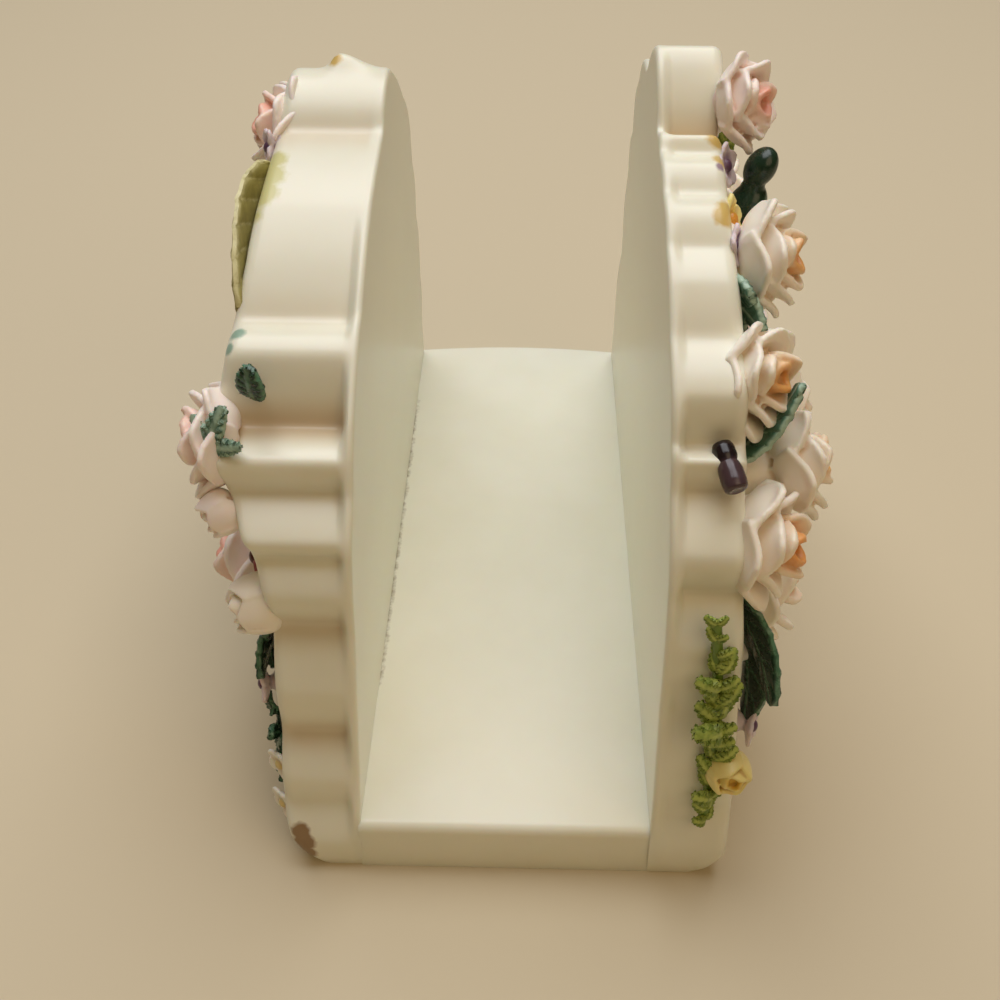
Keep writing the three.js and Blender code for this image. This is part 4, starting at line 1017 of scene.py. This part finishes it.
def frond(chance, length, pairs, leaflet, bend):
    points, faces, vein = leaf_blade(
        leaflet, LEAFLET_SHARE * leaflet, LEAFLET_FOLD, LEAFLET_ARCH, LEAFLET_THICK)
    pattern = add_object("leaflet", plain_mesh("leaflet", points, faces, vein=vein))
    t = np.linspace(0, 1, STEM_POINTS)
    z = STEM_ARCH * t * (1 - t) * 2 + STEM_RISE * t
    line = np.column_stack([bend * 2 * t * (1 - t), length * t, z])
    links = [(i, i + 1) for i in range(STEM_POINTS - 1)]
    stem = add_object("stem", plain_mesh("stem", line, [], links))
    growth = stem.modifiers.new(FROND_TREE.name, "NODES")
    growth.node_group = FROND_TREE
    values = {**FROND_HABIT, "Leaflet": pattern, "Pairs": pairs, "Seed": int(chance.integers(100))}
    for item in FROND_TREE.interface.items_tree:
        if item.name in values:
            growth[item.identifier] = values[item.name]
    mesh = evaluated_mesh(stem)
    bpy.data.objects.remove(pattern)
    return mesh


print("frond inputs:", list(FROND_INPUTS))

# %% [markdown]
# ## The bouquets
# Three lists say what stands where, in millimetres and degrees. A flower has its place along the
# slot, height, radius, stand off its face, tips to the front and the top, and depth set in. A leaf
# or frond has its heading, lift, roll and depth, and in brackets a leaf's length, width, fan, fold
# and arch, or a frond's length, pairs, leaflet and bend. A name's first word is the side, its last
# says how it is made, and the place in the list seeds small differences.

# %% The bouquets
FLOWERS = [
    ("right_peak_rose", "pink", front(68), 106, 6.3, 3, 28, 18, 0.8),
    ("right_upper_rose", "cream", front(43), 94, 7.4, 2.3, 14, 12),
    ("right_shoulder_rose", "cream", front(27.3), 84.9, 7.2, 0, 36, 22),
    ("right_outer_rose", "cream", front(25), 67.5, 7.6, 6.5, -4, 14),
    ("right_front_rose", "peach", front(14.5), 65.5, 8, 0.6, 22, 4),
    ("right_heart_rose", "pink", front(57), 62, 11, 1.5, 0, 8),
    ("right_low_rose", "cream", front(36), 36, 11, 2.5, 0, 5),
    ("right_back_rose", "peach", back(46), 76, 8.5, 2, -10, 10),
    ("right_far_rose", "cream", back(34), 44, 11, 2.5, -12, 0),
    ("right_peach_bud", "peach", front(34), 73, 3, 6.2, 0, 10),
    ("right_yellow_bud", "yellow", front(3), 28.8, 3, 0.8, 78, 25, 2.2),
    ("right_plum_pod", "plum", front(18.7), 82, 2.2, 3.2, 74, -58, 4.2),
    ("right_top_violet", "violet", front(57), 101.5, 3.4, 0, 18, 20),
    ("right_rim_violet", "violet", front(41), 97.5, 3.2, 0, 20, 20),
    ("right_low_violet", "violet", front(8), 31, 3.4, 2.4, 20, 0),
    ("right_yellow_blossom", "yellow", front(47), 98.2, 3.8, 0, 20, 20, 0.4),
    ("right_white_blossom", "white", front(12), 44, 3.6, 4, 10, 0),
    ("right_back_blossom", "white", back(57), 30, 5.2, 1, 0, 10),
    ("right_far_blossom", "yellow", back(30), 64, 4.6, 1, -10, 0),
    ("left_peak_rose", "pink", front(82), 94.6, 7.6, -3.2, 6, 24),
    ("left_rim_rose", "pink", front(27.5), 71.6, 7.8, -2, 8, 8),
    ("left_heart_rose", "cream", front(61), 53, 11, 0.5, 0, 8),
    ("left_low_rose", "pink", front(38), 36, 11, 2.5, 0, 5),
    ("left_back_rose", "cream", back(36), 70, 9.5, -2, -14, 4),
    ("left_far_rose", "peach", back(32), 41, 11, 2.5, -12, 0),
    ("left_pink_bud", "pink", front(21.5), 64.5, 2.9, 0.8, 30, -20),
    ("left_cream_bud", "cream", front(16), 48.5, 4.2, -1.6, 20, 0),
    ("left_yellow_bud", "yellow", back(59), 31, 4.4, 1.5, 0, 10),
    ("left_top_violet", "violet", front(73), 95.4, 3.2, 0.4, 15, 10),
    ("left_low_violet", "violet", front(14.5), 31, 3.6, 2.6, 15, 0),
    ("left_back_violet", "violet", back(20), 59, 4.6, 1, -10, 0),
    ("left_magenta_blossom", "magenta", front(25), 50, 4.4, 3, 15, 0),
    ("left_yellow_blossom", "yellow", front(45), 64.6, 4.6, 0.8, 0, 10),
    ("left_white_blossom", "white", front(8.5), 17.5, 3.2, 0.6, 48, 0),
    ("left_foot_blossom", "white", front(6), 10, 2.9, 0.6, 44, 0),
]
LEAVES = [
    ("right_curled_leaf", "dark_green", front(58), 92, 8, 28, 0, 1.2, (13, 9)),
    ("right_rose_leaf", "mid_green", front(36), 93, 112, 34, 0, 2.4, (9, 6.4, 0.8)),
    ("right_upright_leaf", "mid_green", front(21), 74, -8, 38, 0, 3, (17, 6)),
    ("right_dark_leaf", "dark_green", front(12), 57, 172, 10, -25, 2.4, (26, 10, 0.4)),
    ("right_heart_leaf", "dark_green", front(58), 58, 188, 6, 0, 0.8, (22, 12, 1)),
    ("right_back_leaf", "mid_green", back(52), 77, -165, 8, (18, 11, 0.9)),
    ("right_far_leaf", "dark_green", back(28), 39, -125, 6, (19, 11, 0.9)),
    ("right_low_leaf", "mid_green", front(42), 32, -125, 6, (19, 11, 0.9)),
    ("left_olive_leaf", "olive", front(68.5), 94.6, 105, 2, 0, 0.8, (30, 12, 0, 0.2, 0.05)),
    ("left_dark_leaf", "dark_green", front(28), 79.6, 14, 0, 70, 6.4, (7, 4.2)),
    ("left_ivy_leaf", "mid_green", front(22.5), 74.4, -12, -20, 62, 1, (6.8, 3, 1)),
    ("left_bud_leaf", "dark_green", front(22), 37, 100, 12, (11, 7, 0.8)),
    ("left_heart_leaf", "mid_green", front(60), 45, 188, 8, (22, 12, 1)),
    ("left_shoulder_leaf", "mid_green", front(58), 71.5, -80, 0, 0, 0.6, (22, 12, 0.9, 0.1, 0.03)),
    ("left_back_leaf", "dark_green", back(41), 80, 10, 0, 0, 0.6, (16, 10, 0.9, 0.1, 0.03)),
    ("left_mid_leaf", "dark_green", back(42), 65.6, 175, 8, (17, 10, 0.8)),
    ("left_far_leaf", "mid_green", back(26), 35, -135, 6, (19, 11, 0.9)),
    ("left_low_leaf", "mid_green", front(44), 31, -130, 6, (19, 11, 0.9)),
]
FRONDS = [
    ("right_front_fern", "fern", front(-0.2), 16, -3, -2, -82, 5.4, (45, 15, 5, 2)),
    ("right_top_fern", "fern", back(58), 84, -6, 4, (22, 7, 7, 2)),
    ("left_front_sprig", "dark_green", front(9), 5, -6, 5, (22, 5, 6, -2)),
    ("left_back_fern", "fern", back(30), 56, -55, 4, (20, 7, 7, 2)),
]
MAKERS = {"rose": rose, "bud": bud, "pod": pod, "blossom": blossom, "violet": blossom,
          "leaf": leaf, "fern": frond, "sprig": frond, "right_curled_leaf": curled_leaf}


def side_of(name):
    return LEFT if name.startswith("left") else RIGHT


def maker_of(name):
    return MAKERS.get(name) or MAKERS[name.split("_")[-1]]


def set_in_place(name, mesh, place, paint):
    mesh.transform(place)
    slot = paint + "_paint"
    finished(name + "_painted", mesh, PAINTS[slot], slot, name, crease=60)


for seed, (name, paint, y, z, radius, stand, *tips) in enumerate(FLOWERS):
    place = flower_seat(side_of(name), y, z, stand, *tips)
    mesh = maker_of(name)(np.random.default_rng(seed), radius, stand)
    set_in_place(name, mesh, place, paint)
for rows in (LEAVES, FRONDS):
    for seed, (name, paint, y, z, heading, lift, *more, sizes) in enumerate(rows):
        place = leaf_seat(side_of(name), y, z, heading, lift, *more)
        set_in_place(name, maker_of(name)(np.random.default_rng(seed), *sizes), place, paint)
print(len(FLOWERS), "flowers,", len(LEAVES), "leaves,", len(FRONDS), "fronds")

# %% [markdown]
# ## Stage and light
# A pale floor, a broad soft lamp above and behind, a weaker warm one in front and an even sky.

# %% Stage and light
FLOOR_TONE, FLOOR_ROUGHNESS, FLOOR_REACH = "#d2c5a8", 0.8, 3000
SKY_TONE, SKY_STRENGTH = "#ffd28c", 0.09
LIT_SPOT = Vector((0, 0, 0.05))

floor_material, floor_tree = new_material("pale floor")
floor_skin = add_node(floor_tree, "ShaderNodeBsdfPrincipled", {
    "Base Color": linear(FLOOR_TONE), "Roughness": FLOOR_ROUGHNESS})
add_node(floor_tree, "ShaderNodeOutputMaterial", {"Surface": floor_skin.outputs[0]})
corners = np.array([(-1, -1, 0), (1, -1, 0), (1, 1, 0), (-1, 1, 0)])
floor = add_object("floor", plain_mesh("floor", FLOOR_REACH * corners, [(0, 1, 2, 3)]))
floor.data.materials.append(floor_material)

world = bpy.data.worlds.new("soft sky")
bpy.context.scene.world = world
world.use_nodes = True
world.node_tree.nodes.clear()
sky = add_node(world.node_tree, "ShaderNodeBackground", {
    "Color": linear(SKY_TONE), "Strength": SKY_STRENGTH})
add_node(world.node_tree, "ShaderNodeOutputWorld", {"Surface": sky.outputs[0]})


def soft_lamp(name, spot, size, power, colour):
    lamp = bpy.data.lights.new(name, "AREA")
    lamp.size = size
    lamp.energy = power
    lamp.color = linear(colour)[:3]
    holder = add_object(name, lamp)
    holder.location = spot
    holder.rotation_euler = (LIT_SPOT - Vector(spot)).to_track_quat("-Z", "Y").to_euler()


soft_lamp("key", (-0.03, 0.25, 0.85), size=0.8, power=7.2, colour="#f8faff")
soft_lamp("fill", (0.3, -0.55, 0.75), size=0.7, power=2.0, colour="#ffe2ba")

# %% View transform
bpy.context.scene.view_settings.view_transform = "Standard"
